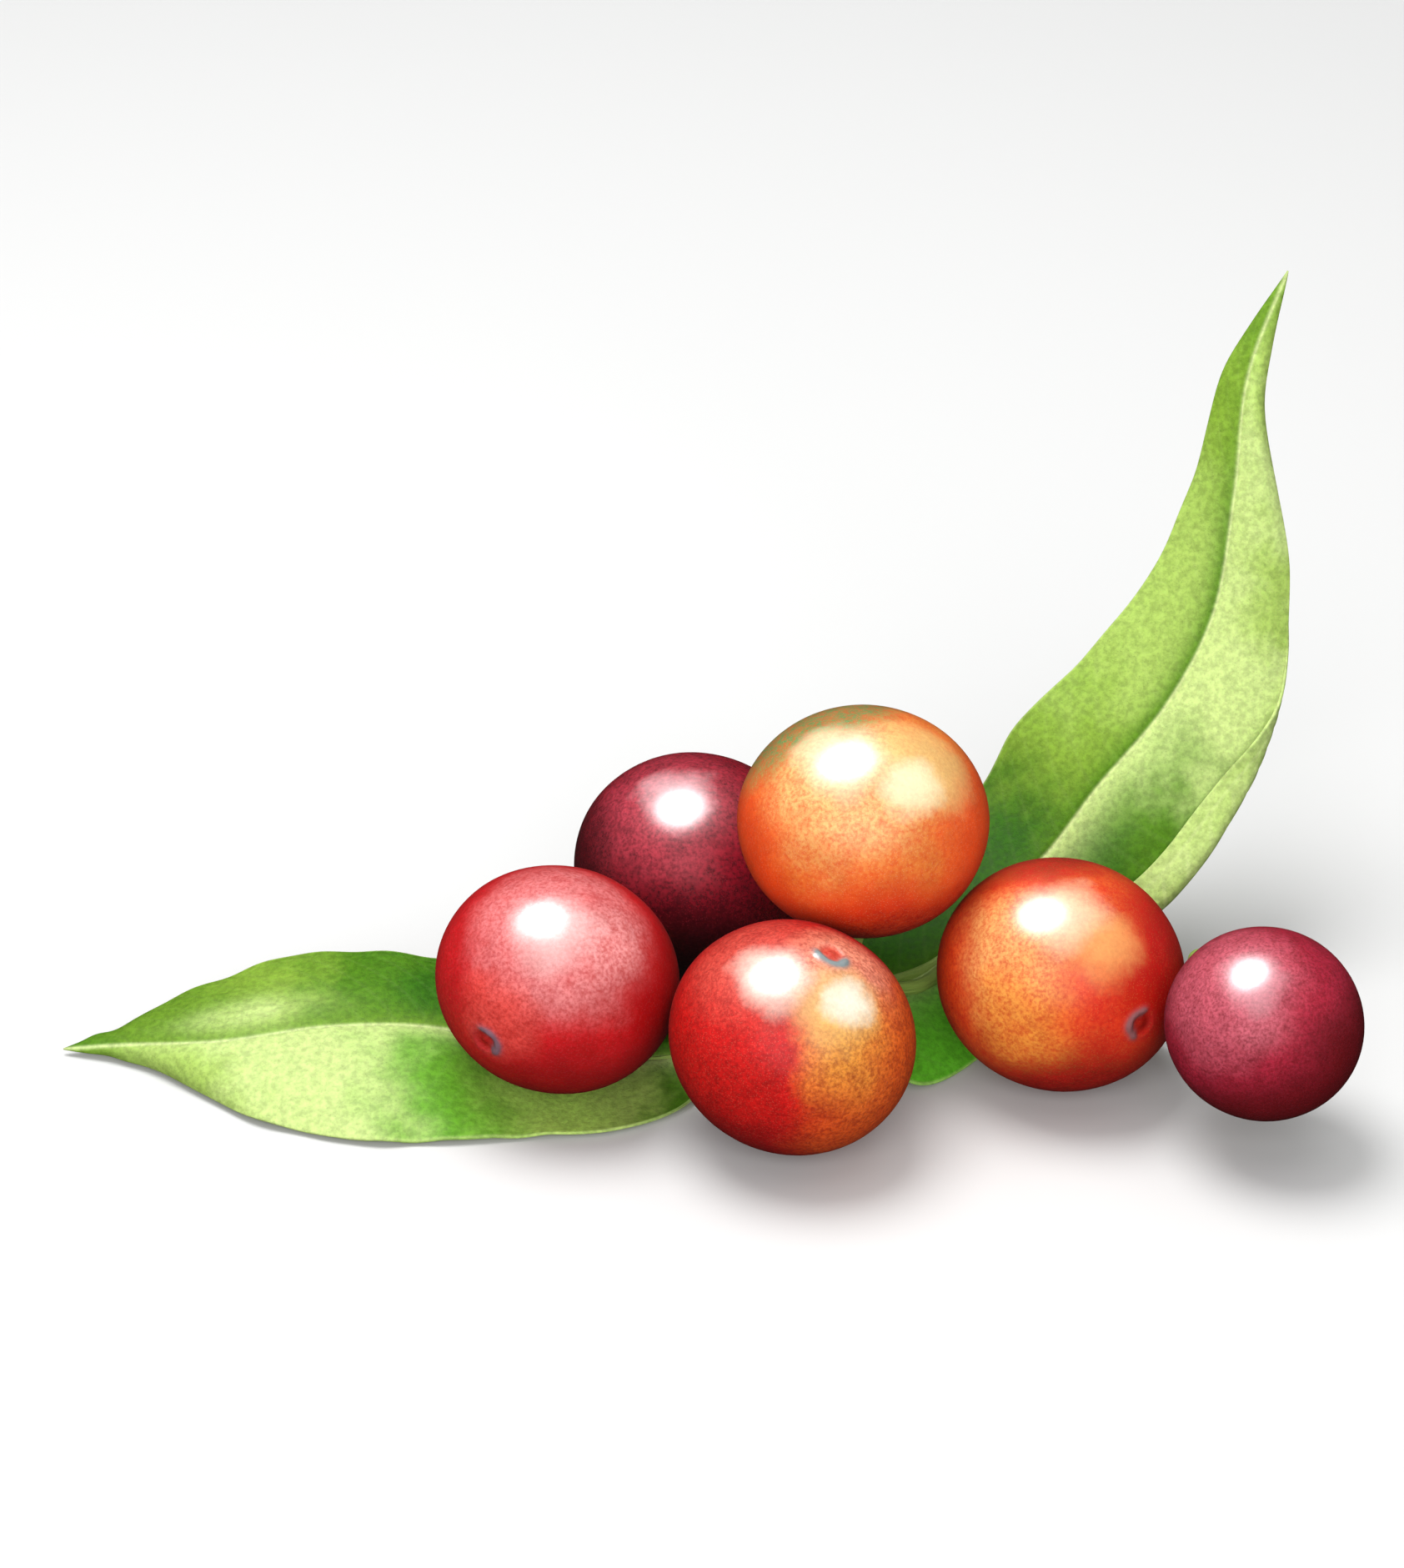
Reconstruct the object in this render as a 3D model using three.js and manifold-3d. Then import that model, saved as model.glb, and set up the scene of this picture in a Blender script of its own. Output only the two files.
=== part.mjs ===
// A cut fruiting sprig of camu camu: six ripe fruits in a heap, two leaves and the twig
// that joins them. Millimetres, +Z up. The sprig lies on the plane Z = 0, and the origin
// is under the middle of its bounding box.

import * as THREE from "three";
import { ParametricGeometry } from "three/addons/geometries/ParametricGeometry.js";
import { mergeVertices } from "three/addons/utils/BufferGeometryUtils.js";
import Module from "manifold-3d";

const wasm = await Module();
wasm.setup();

// Driving dimensions

const CLEARANCE = 0.3; // left between a stalk and what it carries
const BLADE_THICKNESS = 1.0; // of a leaf, a hundredth of its length
const PETIOLE_RADIUS = 0.8;
const MIDRIB_TIP_RADIUS = 0.35;
const STALK_RADIUS = 0.75;
const STALK_COLLAR_RADIUS = 1.15; // where a stalk widens under its fruit
const STALK_APPROACH = 1.6; // length over which a stalk meets its fruit squarely
const TWIG_CUT_RADIUS = 1.8;
const TWIG_TIP_RADIUS = 0.85;
const NODE_SWELLING = 1.14; // of the twig's radius at each node
const SHORT_AXIS_LEAN_BACK = 30; // degrees, shared by the heap
const SPRIG_PLACE = [0.07, 0.39, 0.02]; // puts the origin under the middle of the sprig

// The round scar at each fruit's tip, as shares of the fruit's radius
const SCAR_RING = 0.105;
const SCAR_RIM_HEIGHT = 0.012;
const SCAR_DIP = 0.03;

// Each fruit: where its centre lies, its longest radius, how flat it is along its short
// axis and how far that axis leans to the right, and which way its scar and stalk point.
const FRUITS = {
  fruit_maroon_back: {
    centre: [-0.94, 6.86, 12.32], radius: 12.75, flatness: 0.95, lean: 17.5,
    scar: [-0.30, 0.80, 0.50], stalk: [0.35, -0.80, -0.49],
    colour: 0x6b1a33, roughness: 0.34,
  },
  fruit_orange_top: {
    centre: [15.99, -7.52, 26.42], radius: 12.73, flatness: 0.927, lean: 1.7,
    scar: [-0.10, 0.62, 0.78], stalk: [-0.10, -0.25, -0.96],
    colour: 0xe8893a, roughness: 0.32,
  },
  fruit_red_left: {
    centre: [-14.76, -16.39, 13.23], radius: 12.40, flatness: 0.924, lean: 16.3,
    scar: [-0.64, -0.76, -0.12], stalk: [0.66, 0.68, -0.31],
    colour: 0xc02a3c, roughness: 0.32,
  },
  fruit_red_orange_front: {
    centre: [8.69, -25.48, 12.11], radius: 12.44, flatness: 0.932, lean: 23.0,
    scar: [0.35, -0.23, 0.91], stalk: [-0.05, 0.72, -0.69],
    colour: 0xcb3424, roughness: 0.32,
  },
  fruit_orange_right: {
    centre: [35.96, -13.62, 12.08], radius: 12.64, flatness: 0.935, lean: 15.7,
    scar: [0.64, -0.77, 0.04], stalk: [-0.82, 0.49, -0.31],
    colour: 0xd4571f, roughness: 0.32,
  },
  fruit_crimson_right: {
    centre: [55.44, -25.88, 13.95], radius: 9.94, flatness: 0.971, lean: 19.9,
    scar: [0.62, -0.35, -0.70], stalk: [-0.49, 0.86, 0.10],
    colour: 0x96203f, roughness: 0.34,
  },
};

// The twig, from its cut end to the stalk of the last fruit, and the nodes on it
const TWIG_PATH = [
  [-5.2, -8.0, 5.2], [-0.2, -8.5, 5.1], [3.8, -9.2, 4.8], [8.8, -9.2, 4.2], [13.8, -6.0, 3.0],
  [21.8, -1.7, 2.0], [32.8, -0.4, 1.7], [42.8, -4.7, 2.4], [47.0, -9.5, 3.5], [50.0, -13.5, 8.0],
];
const TWIG_NODES = [0.06, 0.17];

// The stalk of each of the other fruits: points on its way from the twig
const STALK_PATHS = {
  fruit_red_left: [[0.2, -8.5, 5.1], [-3.4, -8.1, 7.4]],
  fruit_maroon_back: [[4.2, -9.2, 4.7], [3.9, -6.2, 5.6]],
  fruit_orange_top: [[9.6, -9.0, 4.1], [12.2, -8.3, 8.6]],
  fruit_red_orange_front: [[11.2, -7.9, 3.7], [11.0, -11.4, 4.2], [9.3, -14.6, 3.8]],
  fruit_orange_right: [[10.8, -8.3, 3.9], [15.6, -9.8, 7.4], [21.6, -8.9, 7.7]],
};

// Each leaf is drawn by three guide curves from its base to its tip: the midrib and the
// two margins, with one point of each at every station. A petiole joins it to the twig.
const LEAVES = {
  leaf_left: {
    petiole: [[8.1, -11.4, 3.2], [7.0, -13.0, 2.5], [4.7, -13.4, 2.1]],
    midrib: [
      [2.6, -12.9, 2.0], [-1.2, -12.6, 1.7], [-9.2, -12.5, 1.1], [-16.8, -12.0, 1.15],
      [-26.6, -11.9, 4.5], [-37.6, -12.8, 5.4], [-49.0, -14.1, 4.4], [-59.2, -11.1, 2.0],
      [-65.9, -9.7, 0.6],
    ],
    left: [
      [2.6, -12.9, 2.0], [-2.5, -20.9, 0.7], [-9.2, -24.8, 0.65], [-16.6, -25.7, 0.65],
      [-25.6, -26.6, 0.6], [-34.6, -26.6, 0.6], [-45.3, -22.6, 0.6], [-57.9, -12.2, 0.6],
      [-65.9, -9.7, 0.6],
    ],
    right: [
      [2.6, -12.9, 2.0], [-2.2, -5.7, 2.2], [-9.8, -1.2, 2.4], [-17.2, 0.8, 3.8],
      [-28.0, -0.9, 6.2], [-39.6, -0.1, 6.4], [-50.2, -2.6, 4.6], [-60.0, -7.6, 2.0],
      [-65.9, -9.7, 0.6],
    ],
    camber: { pressed: [-0.31, 0.0], free: [0.6, 0.5], from: 0.36, to: 0.56 }, stations: 40,
    colour: 0x6f9a45, roughness: 0.55,
  },
  leaf_right: {
    petiole: [[9.2, -7.3, 5.6], [10.2, -6.1, 6.4]],
    midrib: [
      [13.2, -6.0, 6.4], [21.4, -3.7, 5.8], [29.4, 2.5, 9.9], [35.6, 7.1, 14.0],
      [40.9, 11.4, 19.4], [48.0, 16.0, 26.5], [52.9, 20.3, 34.9], [55.1, 25.8, 46.3],
      [56.5, 31.5, 57.3], [60.7, 37.1, 66.9],
    ],
    left: [
      [13.2, -6.0, 6.4], [19.3, 3.2, 8.2], [23.5, 11.2, 14.0], [28.9, 14.4, 17.7],
      [32.3, 17.5, 23.0], [39.7, 21.3, 29.5], [46.6, 24.8, 37.6], [50.9, 28.3, 46.8],
      [54.2, 32.9, 57.6], [60.7, 37.1, 66.9],
    ],
    right: [
      [13.2, -6.0, 6.4], [21.4, -16.6, 0.8], [33.5, -5.0, 1.5], [42.2, -0.3, 7.3],
      [48.2, 2.5, 11.1], [55.0, 8.9, 18.1], [59.7, 15.4, 27.4], [60.8, 22.0, 38.8],
      [58.2, 30.7, 54.8], [60.7, 37.1, 66.9],
    ],
    camber: { pressed: [0.2, 0.0], free: [0.5, 0.9], from: 0.30, to: 0.50 }, stations: 48,
    rolled: { from: 0.26, full: 0.34, fades: 0.50, to: 0.64, radius: 1.2 },
    colour: 0x6a9a40, roughness: 0.55,
  },
};

const TWIG_COLOUR = 0x6b5236;

// Small tools

const vector = (point) => new THREE.Vector3(...point);

function curveThrough(points) {
  return new THREE.CatmullRomCurve3(points.map(vector), false, "centripetal");
}

function weld(geometry) {
  const bare = geometry.clone();
  bare.deleteAttribute("normal");
  bare.deleteAttribute("uv");
  return mergeVertices(bare, 1e-4);
}

function toSolid(geometry) {
  const welded = weld(geometry);
  const triVerts = [];
  const index = welded.index.array;
  for (let i = 0; i < index.length; i += 3) {
    const [a, b, c] = [index[i], index[i + 1], index[i + 2]];
    if (a !== b && b !== c && c !== a) {
      triVerts.push(a, b, c);
    }
  }
  const mesh = new wasm.Mesh({
    numProp: 3,
    vertProperties: new Float32Array(welded.attributes.position.array),
    triVerts: new Uint32Array(triVerts),
  });
  return new wasm.Manifold(mesh);
}

function joined(geometries) {
  const solids = geometries.map(toSolid);
  const whole = solids.reduce((sum, solid) => sum.add(solid));
  const mesh = whole.getMesh();
  const geometry = new THREE.BufferGeometry();
  geometry.setAttribute("position", new THREE.BufferAttribute(mesh.vertProperties, 3));
  geometry.setIndex(new THREE.BufferAttribute(mesh.triVerts, 1));
  geometry.computeVertexNormals();
  return geometry;
}

function addMesh(parent, name, geometry, colour, roughness) {
  const material = new THREE.MeshStandardMaterial({ color: colour, roughness, metalness: 0 });
  const mesh = new THREE.Mesh(geometry, material);
  mesh.name = name;
  parent.add(mesh);
  return mesh;
}

// Stems: a turned rod whose radius follows a function, bent along a curve

function bentRod(curve, radiusAt, steps, sides) {
  const profile = [new THREE.Vector2(0, 0)];
  for (let i = 0; i <= steps; i += 1) {
    profile.push(new THREE.Vector2(radiusAt(i / steps), i / steps));
  }
  profile.push(new THREE.Vector2(0, 1));
  const rod = new THREE.LatheGeometry(profile, sides);
  const frames = curve.computeFrenetFrames(steps, false);
  const position = rod.attributes.position;
  const point = new THREE.Vector3();
  for (let i = 0; i < position.count; i += 1) {
    const [x, along, z] = [position.getX(i), position.getY(i), position.getZ(i)];
    const step = Math.round(along * steps);
    curve.getPointAt(along, point);
    point.addScaledVector(frames.normals[step], -x);
    point.addScaledVector(frames.binormals[step], z);
    position.setXYZ(i, point.x, point.y, point.z);
  }
  return rod;
}

function shortAxis(fruit) {
  const lean = THREE.MathUtils.degToRad(fruit.lean);
  const back = THREE.MathUtils.degToRad(SHORT_AXIS_LEAN_BACK);
  return new THREE.Vector3(
    Math.sin(lean), Math.cos(lean) * Math.sin(back), Math.cos(lean) * Math.cos(back));
}

// How far the fruit's skin lies from its centre in a direction
function skinRadius(fruit, direction) {
  const across = shortAxis(fruit).dot(direction);
  const stretch = 1 / fruit.flatness ** 2 - 1;
  return fruit.radius / Math.sqrt(1 + across * across * stretch);
}

// The last stretch of a stalk, square to the skin of its fruit
function stalkEnd(fruit) {
  const direction = vector(fruit.stalk).normalize();
  const reach = skinRadius(fruit, direction) + CLEARANCE;
  return [STALK_APPROACH, 0].map((away) =>
    vector(fruit.centre).addScaledVector(direction, reach + away).toArray());
}

function stalkGeometry(fruit, path) {
  const curve = curveThrough([...path, ...stalkEnd(fruit)]);
  const widening = STALK_COLLAR_RADIUS - STALK_RADIUS;
  return bentRod(curve, (along) => STALK_RADIUS + widening * along ** 8, 12, 10);
}

function twigGeometry() {
  const curve = curveThrough([...TWIG_PATH, ...stalkEnd(FRUITS.fruit_crimson_right)]);
  const radiusAt = (along) => {
    let radius = THREE.MathUtils.lerp(TWIG_CUT_RADIUS, TWIG_TIP_RADIUS, Math.sqrt(along));
    for (const node of TWIG_NODES) {
      radius *= 1 + (NODE_SWELLING - 1) * Math.exp(-(((along - node) / 0.02) ** 2));
    }
    return radius + (STALK_COLLAR_RADIUS - TWIG_TIP_RADIUS) * along ** 40;
  };
  return bentRod(curve, radiusAt, 56, 12);
}

// Fruits: a turned globe with a scar at its tip, then flattened along the short axis

function fruitProfile(radius) {
  const rim = SCAR_RING;
  const profile = [
    new THREE.Vector2(0, radius * (1 - SCAR_DIP)),
    new THREE.Vector2(radius * rim * 0.7, radius * (1 - SCAR_DIP)),
    new THREE.Vector2(radius * rim, radius * (1 + SCAR_RIM_HEIGHT - rim * rim / 2)),
  ];
  const steps = 16;
  const start = Math.asin(rim * 1.45);
  for (let i = 0; i < steps; i += 1) {
    const angle = start + (Math.PI - start) * (i / steps);
    profile.push(new THREE.Vector2(radius * Math.sin(angle), radius * Math.cos(angle)));
  }
  profile.push(new THREE.Vector2(0, -radius));
  return profile.reverse();
}

function fruitGeometry(fruit) {
  const geometry = new THREE.LatheGeometry(fruitProfile(fruit.radius), 28);
  const up = new THREE.Vector3(0, 1, 0);
  const turn = new THREE.Quaternion().setFromUnitVectors(up, vector(fruit.scar).normalize());
  geometry.applyQuaternion(turn);
  const axis = shortAxis(fruit);
  const position = geometry.attributes.position;
  const point = new THREE.Vector3();
  for (let i = 0; i < position.count; i += 1) {
    point.fromBufferAttribute(position, i);
    point.addScaledVector(axis, (fruit.flatness - 1) * point.dot(axis));
    position.setXYZ(i, point.x, point.y, point.z);
  }
  geometry.computeVertexNormals();
  return geometry;
}

// Leaves: a blade lofted between the guide curves, with its midrib standing out below

function bladeMiddle(leaf, curves, along, across) {
  const rib = curves.midrib.getPoint(along);
  const margin = (across < 0 ? curves.left : curves.right).getPoint(along);
  const { pressed, free, from, to } = leaf.camber;
  const half = across < 0 ? 0 : 1;
  const camber = THREE.MathUtils.lerp(
    pressed[half], free[half], THREE.MathUtils.smoothstep(along, from, to));
  const share = Math.abs(across);
  const side = margin.clone().sub(rib);
  const width = side.length();
  const tangent = curves.midrib.getTangent(along);
  const lift = new THREE.Vector3().crossVectors(side, tangent);
  if (across < 0) {
    lift.negate();
  }
  const bulge = camber * 4 * share * (1 - share) * Math.min(1, width / 5);
  return rib.addScaledVector(side, share).addScaledVector(lift.normalize(), bulge);
}

function bladeNormal(leaf, curves, along, across) {
  const step = 0.01;
  const a = bladeMiddle(leaf, curves, Math.max(0, along - step), across);
  const b = bladeMiddle(leaf, curves, Math.min(1, along + step), across);
  const sign = across < 0 ? -1 : 1;
  const inner = bladeMiddle(leaf, curves, along, across - sign * 0.05);
  const outer = bladeMiddle(leaf, curves, along, across);
  const side = outer.sub(inner).multiplyScalar(sign);
  return side.cross(b.sub(a)).normalize();
}

// Height of the right margin where it rolls over on the upper face
function rolledMargin(leaf, curves, along, across) {
  if (!leaf.rolled || across < 0) {
    return 0;
  }
  const { from, full, fades, to, radius } = leaf.rolled;
  const grown = THREE.MathUtils.smoothstep(along, from, full);
  const roll = radius * grown * (1 - THREE.MathUtils.smoothstep(along, fades, to));
  const width = curves.right.getPoint(along).distanceTo(curves.midrib.getPoint(along));
  const inward = width * (1 - across) - roll;
  return Math.sqrt(Math.max(0, roll * roll - inward * inward));
}

function bladeGeometry(leaf, curves) {
  const around = 24;
  const point = (u, v, target) => {
    const row = Math.round(u * leaf.stations);
    const along = THREE.MathUtils.clamp((row - 1) / (leaf.stations - 2), 0, 1);
    const inside = 0.012 + 0.976 * along;
    if (row === 0 || row === leaf.stations) {
      target.copy(bladeMiddle(leaf, curves, inside, 0.001));
      return;
    }
    const turn = v * 2 * Math.PI;
    const across = Math.cos(turn);
    const face = v % 0.5 === 0 ? 0 : Math.sign(0.5 - v);
    const blade = (BLADE_THICKNESS / 2) * Math.sqrt(1 - Math.abs(across) ** 6);
    const half = face > 0 ? Math.max(blade, rolledMargin(leaf, curves, inside, across)) : blade;
    target.copy(bladeMiddle(leaf, curves, inside, across || 0.001));
    target.addScaledVector(bladeNormal(leaf, curves, inside, across || 0.001), half * face);
  };
  return new ParametricGeometry(point, leaf.stations, around);
}

function leafGeometry(leaf) {
  const curves = {
    midrib: curveThrough(leaf.midrib),
    left: curveThrough(leaf.left),
    right: curveThrough(leaf.right),
  };
  const ribPoints = curves.midrib.getPoints(18).slice(0, -1);
  const sunk = ribPoints.map((point, i) => {
    const normal = bladeNormal(leaf, curves, i / 18, 0.05);
    return point.addScaledVector(normal, i === 0 ? 0 : -0.25).toArray();
  });
  const ribCurve = curveThrough([...leaf.petiole, ...sunk]);
  const taper = MIDRIB_TIP_RADIUS - PETIOLE_RADIUS;
  const rib = bentRod(ribCurve, (along) => PETIOLE_RADIUS + taper * along ** 0.7, 44, 8);
  return joined([bladeGeometry(leaf, curves), rib]);
}

// The sprig

const sprig = new THREE.Group();
sprig.name = "camu_camu_sprig";
sprig.position.set(...SPRIG_PLACE);

const fruits = new THREE.Group();
for (const [name, fruit] of Object.entries(FRUITS)) {
  const mesh = addMesh(fruits, name, fruitGeometry(fruit), fruit.colour, fruit.roughness);
  mesh.position.set(...fruit.centre);
}
sprig.add(fruits);

const leaves = new THREE.Group();
for (const [name, leaf] of Object.entries(LEAVES)) {
  addMesh(leaves, name, leafGeometry(leaf), leaf.colour, leaf.roughness);
}
sprig.add(leaves);

const stalks = Object.entries(STALK_PATHS).map(([name, path]) => stalkGeometry(FRUITS[name], path));
addMesh(sprig, "twig", joined([twigGeometry(), ...stalks]), TWIG_COLOUR, 0.75);

export default sprig;
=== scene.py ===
"""Dresses the camu camu sprig: six ripe fruits, two leaves and the twig that joins them.

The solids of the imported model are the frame, and a finer piece of the same size stands in
the place of each. Lengths are millimetres until a mesh is made, and +Z is up.
"""

from __future__ import annotations

import logging
import math
from dataclasses import dataclass
from enum import Enum
from typing import Callable, Mapping, Sequence

import bmesh
import bpy
import numpy as np
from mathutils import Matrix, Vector, noise

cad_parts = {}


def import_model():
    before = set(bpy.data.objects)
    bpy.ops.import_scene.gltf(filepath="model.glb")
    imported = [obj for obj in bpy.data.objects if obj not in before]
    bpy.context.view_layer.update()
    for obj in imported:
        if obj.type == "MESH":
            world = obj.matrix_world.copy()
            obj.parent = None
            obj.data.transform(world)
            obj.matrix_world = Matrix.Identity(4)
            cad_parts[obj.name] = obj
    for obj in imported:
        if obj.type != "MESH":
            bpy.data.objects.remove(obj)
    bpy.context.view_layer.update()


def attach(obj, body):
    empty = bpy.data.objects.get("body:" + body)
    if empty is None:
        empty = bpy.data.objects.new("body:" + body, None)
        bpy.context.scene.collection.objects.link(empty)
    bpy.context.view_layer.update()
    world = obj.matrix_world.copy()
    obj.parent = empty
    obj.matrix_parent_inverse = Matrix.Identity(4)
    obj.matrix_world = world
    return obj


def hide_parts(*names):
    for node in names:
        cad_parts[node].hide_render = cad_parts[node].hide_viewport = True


LOG = logging.getLogger("sprig")

MM = 0.001
BODY = "root"
SPRIG_PLACE = np.array([0.07, 0.39, 0.02])  # puts the origin under the middle of the sprig
VIEW_ELEVATION = math.radians(30.0)

Point = tuple[float, float, float]
Socket = bpy.types.NodeSocket


# Colours


class Tint(Enum):
    """The colours of the sprig; those marked below are painted light, shade or highlights."""

    MAROON = "980a22"
    # painted shade at the maroon fruit's bottom, and the colour of its flecks
    MAROON_DARK = "32030c"
    # painted shade along the maroon fruit's left rim, and the colour inside its scar
    MAROON_RIM = "50060e"
    # painted light on the maroon fruit's upper left, and the colour of its dots
    MAROON_BLOOM = "c03f4f"
    MAROON_SHEEN = "e8b8bc"
    ORANGE = "f08c3a"
    # apricot skin on the orange fruit, and a painted halo round painted highlights
    APRICOT = "e8be74"
    # painted highlights, and the colour of the orange fruit's dots
    CREAM = "efe0b4"
    OLIVE = "629250"
    TANGERINE = "f84c14"
    VERMILION = "e62e14"
    RED = "d4121c"
    # painted glow round the red fruit's highlight, and the colour of its dots
    ROSE = "dc7a7a"
    ROSE_SHEEN = "f0bab6"
    CORAL = "f85c50"
    # painted shade low on the skins, and the colour inside the red fruit's scar
    WINE = "900408"
    SCARLET = "da100c"
    BRICK = "da5444"
    SALMON = "fc9c7c"
    AMBER = "ffaa3c"
    RUST = "f8661c"
    # painted highlights on the red-orange fruit
    IVORY = "efe6d2"
    DUSK_RED = "b80e06"
    EMBER = "960806"
    FLAME = "e0561e"
    # honey skin on the orange-red fruit, a painted highlight on it, and the colour of its dots
    HONEY = "e8b064"
    GOLD = "ffa43c"
    UMBER = "8a1e0c"
    CRIMSON = "b0203a"
    # painted shade low on the crimson fruit, and the colour of its flecks and scar
    CRIMSON_DARK = "6c0810"
    # painted light on the crimson fruit's upper left, and the colour of its dots
    CRIMSON_BLOOM = "ce5f70"
    CRIMSON_SHEEN = "dc9aa2"
    SCAR_PALE = "7d8788"
    SCAR_DUSKY = "7c5a66"
    SCAR_DEEP = "7a1010"
    SCAR_ROSE = "8e5a5c"
    STALK_END = "6b7a2e"
    # painted shade on the leaves
    LEAF_DEEP = "2f6408"
    LEAF_DARK = "477410"
    LEAF_GREEN = "5f8420"
    LEAF_MID = "75962f"
    LEAF_LIGHT = "95b054"
    LEAF_PALE = "b0c478"
    # painted light in the shade at the tall leaf's base
    LEAF_BRIGHT = "5cb028"
    LEAF_SHADE = "5a9222"
    # painted light in the shadow of the red fruit on the low leaf
    LEAF_FRESH = "a8ce5c"
    LEAF_UNDER = "9cb462"
    RIB = "c2d08e"
    STALK = "86a048"
    STALK_YOUNG = "9cba58"
    BARK = "7a5a3a"
    BARK_DARK = "4a3422"
    BARK_PALE = "a68a64"
    WOOD = "e2cf9f"
    PITH = "c9a76a"
    FLOOR = "d1d1d0"

    def linear(self) -> tuple[float, float, float, float]:
        """Converts the colour to what the shader takes.

        Returns:
            Red, green and blue in linear light, and full alpha.
        """
        shares = [int(self.value[i : i + 2], 16) / 255 for i in (0, 2, 4)]
        bent = [c / 12.92 if c <= 0.04045 else ((c + 0.055) / 1.055) ** 2.4 for c in shares]
        return (bent[0], bent[1], bent[2], 1.0)


# Shapes


def smoothstep(value: np.ndarray | float, low: float, high: float) -> np.ndarray:
    """Rises smoothly from 0 at low to 1 at high.

    Args:
        value: Where to read the step.
        low: Where it starts to rise.
        high: Where it is full.

    Returns:
        The height of the step, from 0 to 1.
    """
    share = np.clip((value - low) / (high - low), 0.0, 1.0)
    return share * share * (3.0 - 2.0 * share)


def unit(vectors: np.ndarray) -> np.ndarray:
    """Returns the vectors at length 1, along the last axis."""
    length = np.linalg.norm(vectors, axis=-1, keepdims=True)
    return vectors / np.maximum(length, 1e-9)


def bell(value: np.ndarray, width: float) -> np.ndarray:
    """Returns a bell curve, which is 1 at 0 and falls off within the width."""
    return np.exp(-((value / width) ** 2))


def facing(right: float, up: float) -> np.ndarray:
    """The direction from a fruit's middle to a spot on its front.

    Args:
        right: How far right of the middle the spot is, in radii.
        up: How far above the middle it is, in radii, for eyes that look down by 30 degrees.

    Returns:
        The direction, of length 1.
    """
    depth = math.sqrt(max(0.0, 1.0 - right * right - up * up))
    sine, cosine = math.sin(VIEW_ELEVATION), math.cos(VIEW_ELEVATION)
    upward = np.array([0.0, sine, cosine])
    nearward = np.array([0.0, -cosine, sine])
    return unit(np.array([right, 0.0, 0.0]) + up * upward + depth * nearward)


@dataclass(frozen=True)
class Guide:
    """A smooth curve through points, which takes as long from each to the next.

    Attributes:
        points: The points in order.
    """

    points: tuple[Point, ...]

    SAMPLES = 40

    def at(self, shares: np.ndarray) -> np.ndarray:
        """Reads the curve.

        Args:
            shares: How far along to read it, from 0 to 1.

        Returns:
            A point for each share.
        """
        known = np.array(self.points, float)
        known = np.vstack([2 * known[0] - known[1], known, 2 * known[-1] - known[-2]])
        stretches = len(self.points) - 1
        place = np.clip(np.atleast_1d(shares), 0.0, 1.0) * stretches
        first = np.minimum(place.astype(int), stretches - 1)
        part = (place - first)[:, None]
        before, start, end, after = (known[first + step] for step in range(4))
        lead, gap, trail = (
            np.sqrt(np.linalg.norm(b - a, axis=1, keepdims=True))
            for a, b in ((before, start), (start, end), (end, after))
        )
        leaving = (start - before) / lead - (end - before) / (lead + gap) + (end - start) / gap
        arriving = (end - start) / gap - (after - start) / (gap + trail) + (after - end) / trail
        leaving, arriving = leaving * gap, arriving * gap
        square = 3 * (end - start) - 2 * leaving - arriving
        cube = 2 * (start - end) + leaving + arriving
        return start + leaving * part + square * part**2 + cube * part**3

    def evenly(self, count: int) -> np.ndarray:
        """Spaces points evenly along the curve.

        Args:
            count: The number of points.

        Returns:
            The points, the same distance apart.
        """
        fine = self.at(np.linspace(0.0, 1.0, self.SAMPLES * len(self.points)))
        run = np.concatenate([[0.0], np.cumsum(np.linalg.norm(np.diff(fine, axis=0), axis=1))])
        wanted = np.linspace(0.0, run[-1], count)
        return np.stack([np.interp(wanted, run, fine[:, axis]) for axis in range(3)], axis=1)


def skin_over(
    name: str, rings: np.ndarray, marks: Mapping[str, np.ndarray], crease: float = math.pi
) -> bpy.types.Object:
    """Makes one closed mesh over a row of rings, with a fan over the first and last ring.

    Args:
        name: The object's name.
        rings: The points, by ring, by place on the ring, by axis.
        marks: Values for the materials to read, by name, each by ring and by place.
        crease: The angle from which an edge is left sharp.

    Returns:
        The object, in the scene, smoothly shaded.
    """
    rows, columns = rings.shape[:2]
    ends = np.stack([rings[0].mean(axis=0), rings[-1].mean(axis=0)])
    points = np.vstack([rings.reshape(-1, 3), ends]) * MM
    first_end, last_end = rows * columns, rows * columns + 1
    faces: list[tuple[int, ...]] = []
    for column in range(columns):
        beside = (column + 1) % columns
        for row in range(rows - 1):
            low, high = row * columns, (row + 1) * columns
            faces.append((low + column, low + beside, high + beside, high + column))
        faces.append((first_end, beside, column))
        last = (rows - 1) * columns
        faces.append((last_end, last + column, last + beside))
    mesh = bpy.data.meshes.new(name)
    mesh.from_pydata(points.tolist(), [], faces)
    shaper = bmesh.new()
    shaper.from_mesh(mesh)
    bmesh.ops.recalc_face_normals(shaper, faces=shaper.faces)
    shaper.to_mesh(mesh)
    shaper.free()
    for mark, values in marks.items():
        layer = mesh.attributes.new(mark, "FLOAT", "POINT")
        full = np.concatenate([values.reshape(-1), [values[0].mean(), values[-1].mean()]])
        layer.data.foreach_set("value", full.astype(np.float32))
    mesh.shade_smooth()
    if crease < math.pi:
        mesh.set_sharp_from_angle(angle=crease)
    made = bpy.data.objects.new(name, mesh)
    bpy.context.scene.collection.objects.link(made)
    return made


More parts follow.
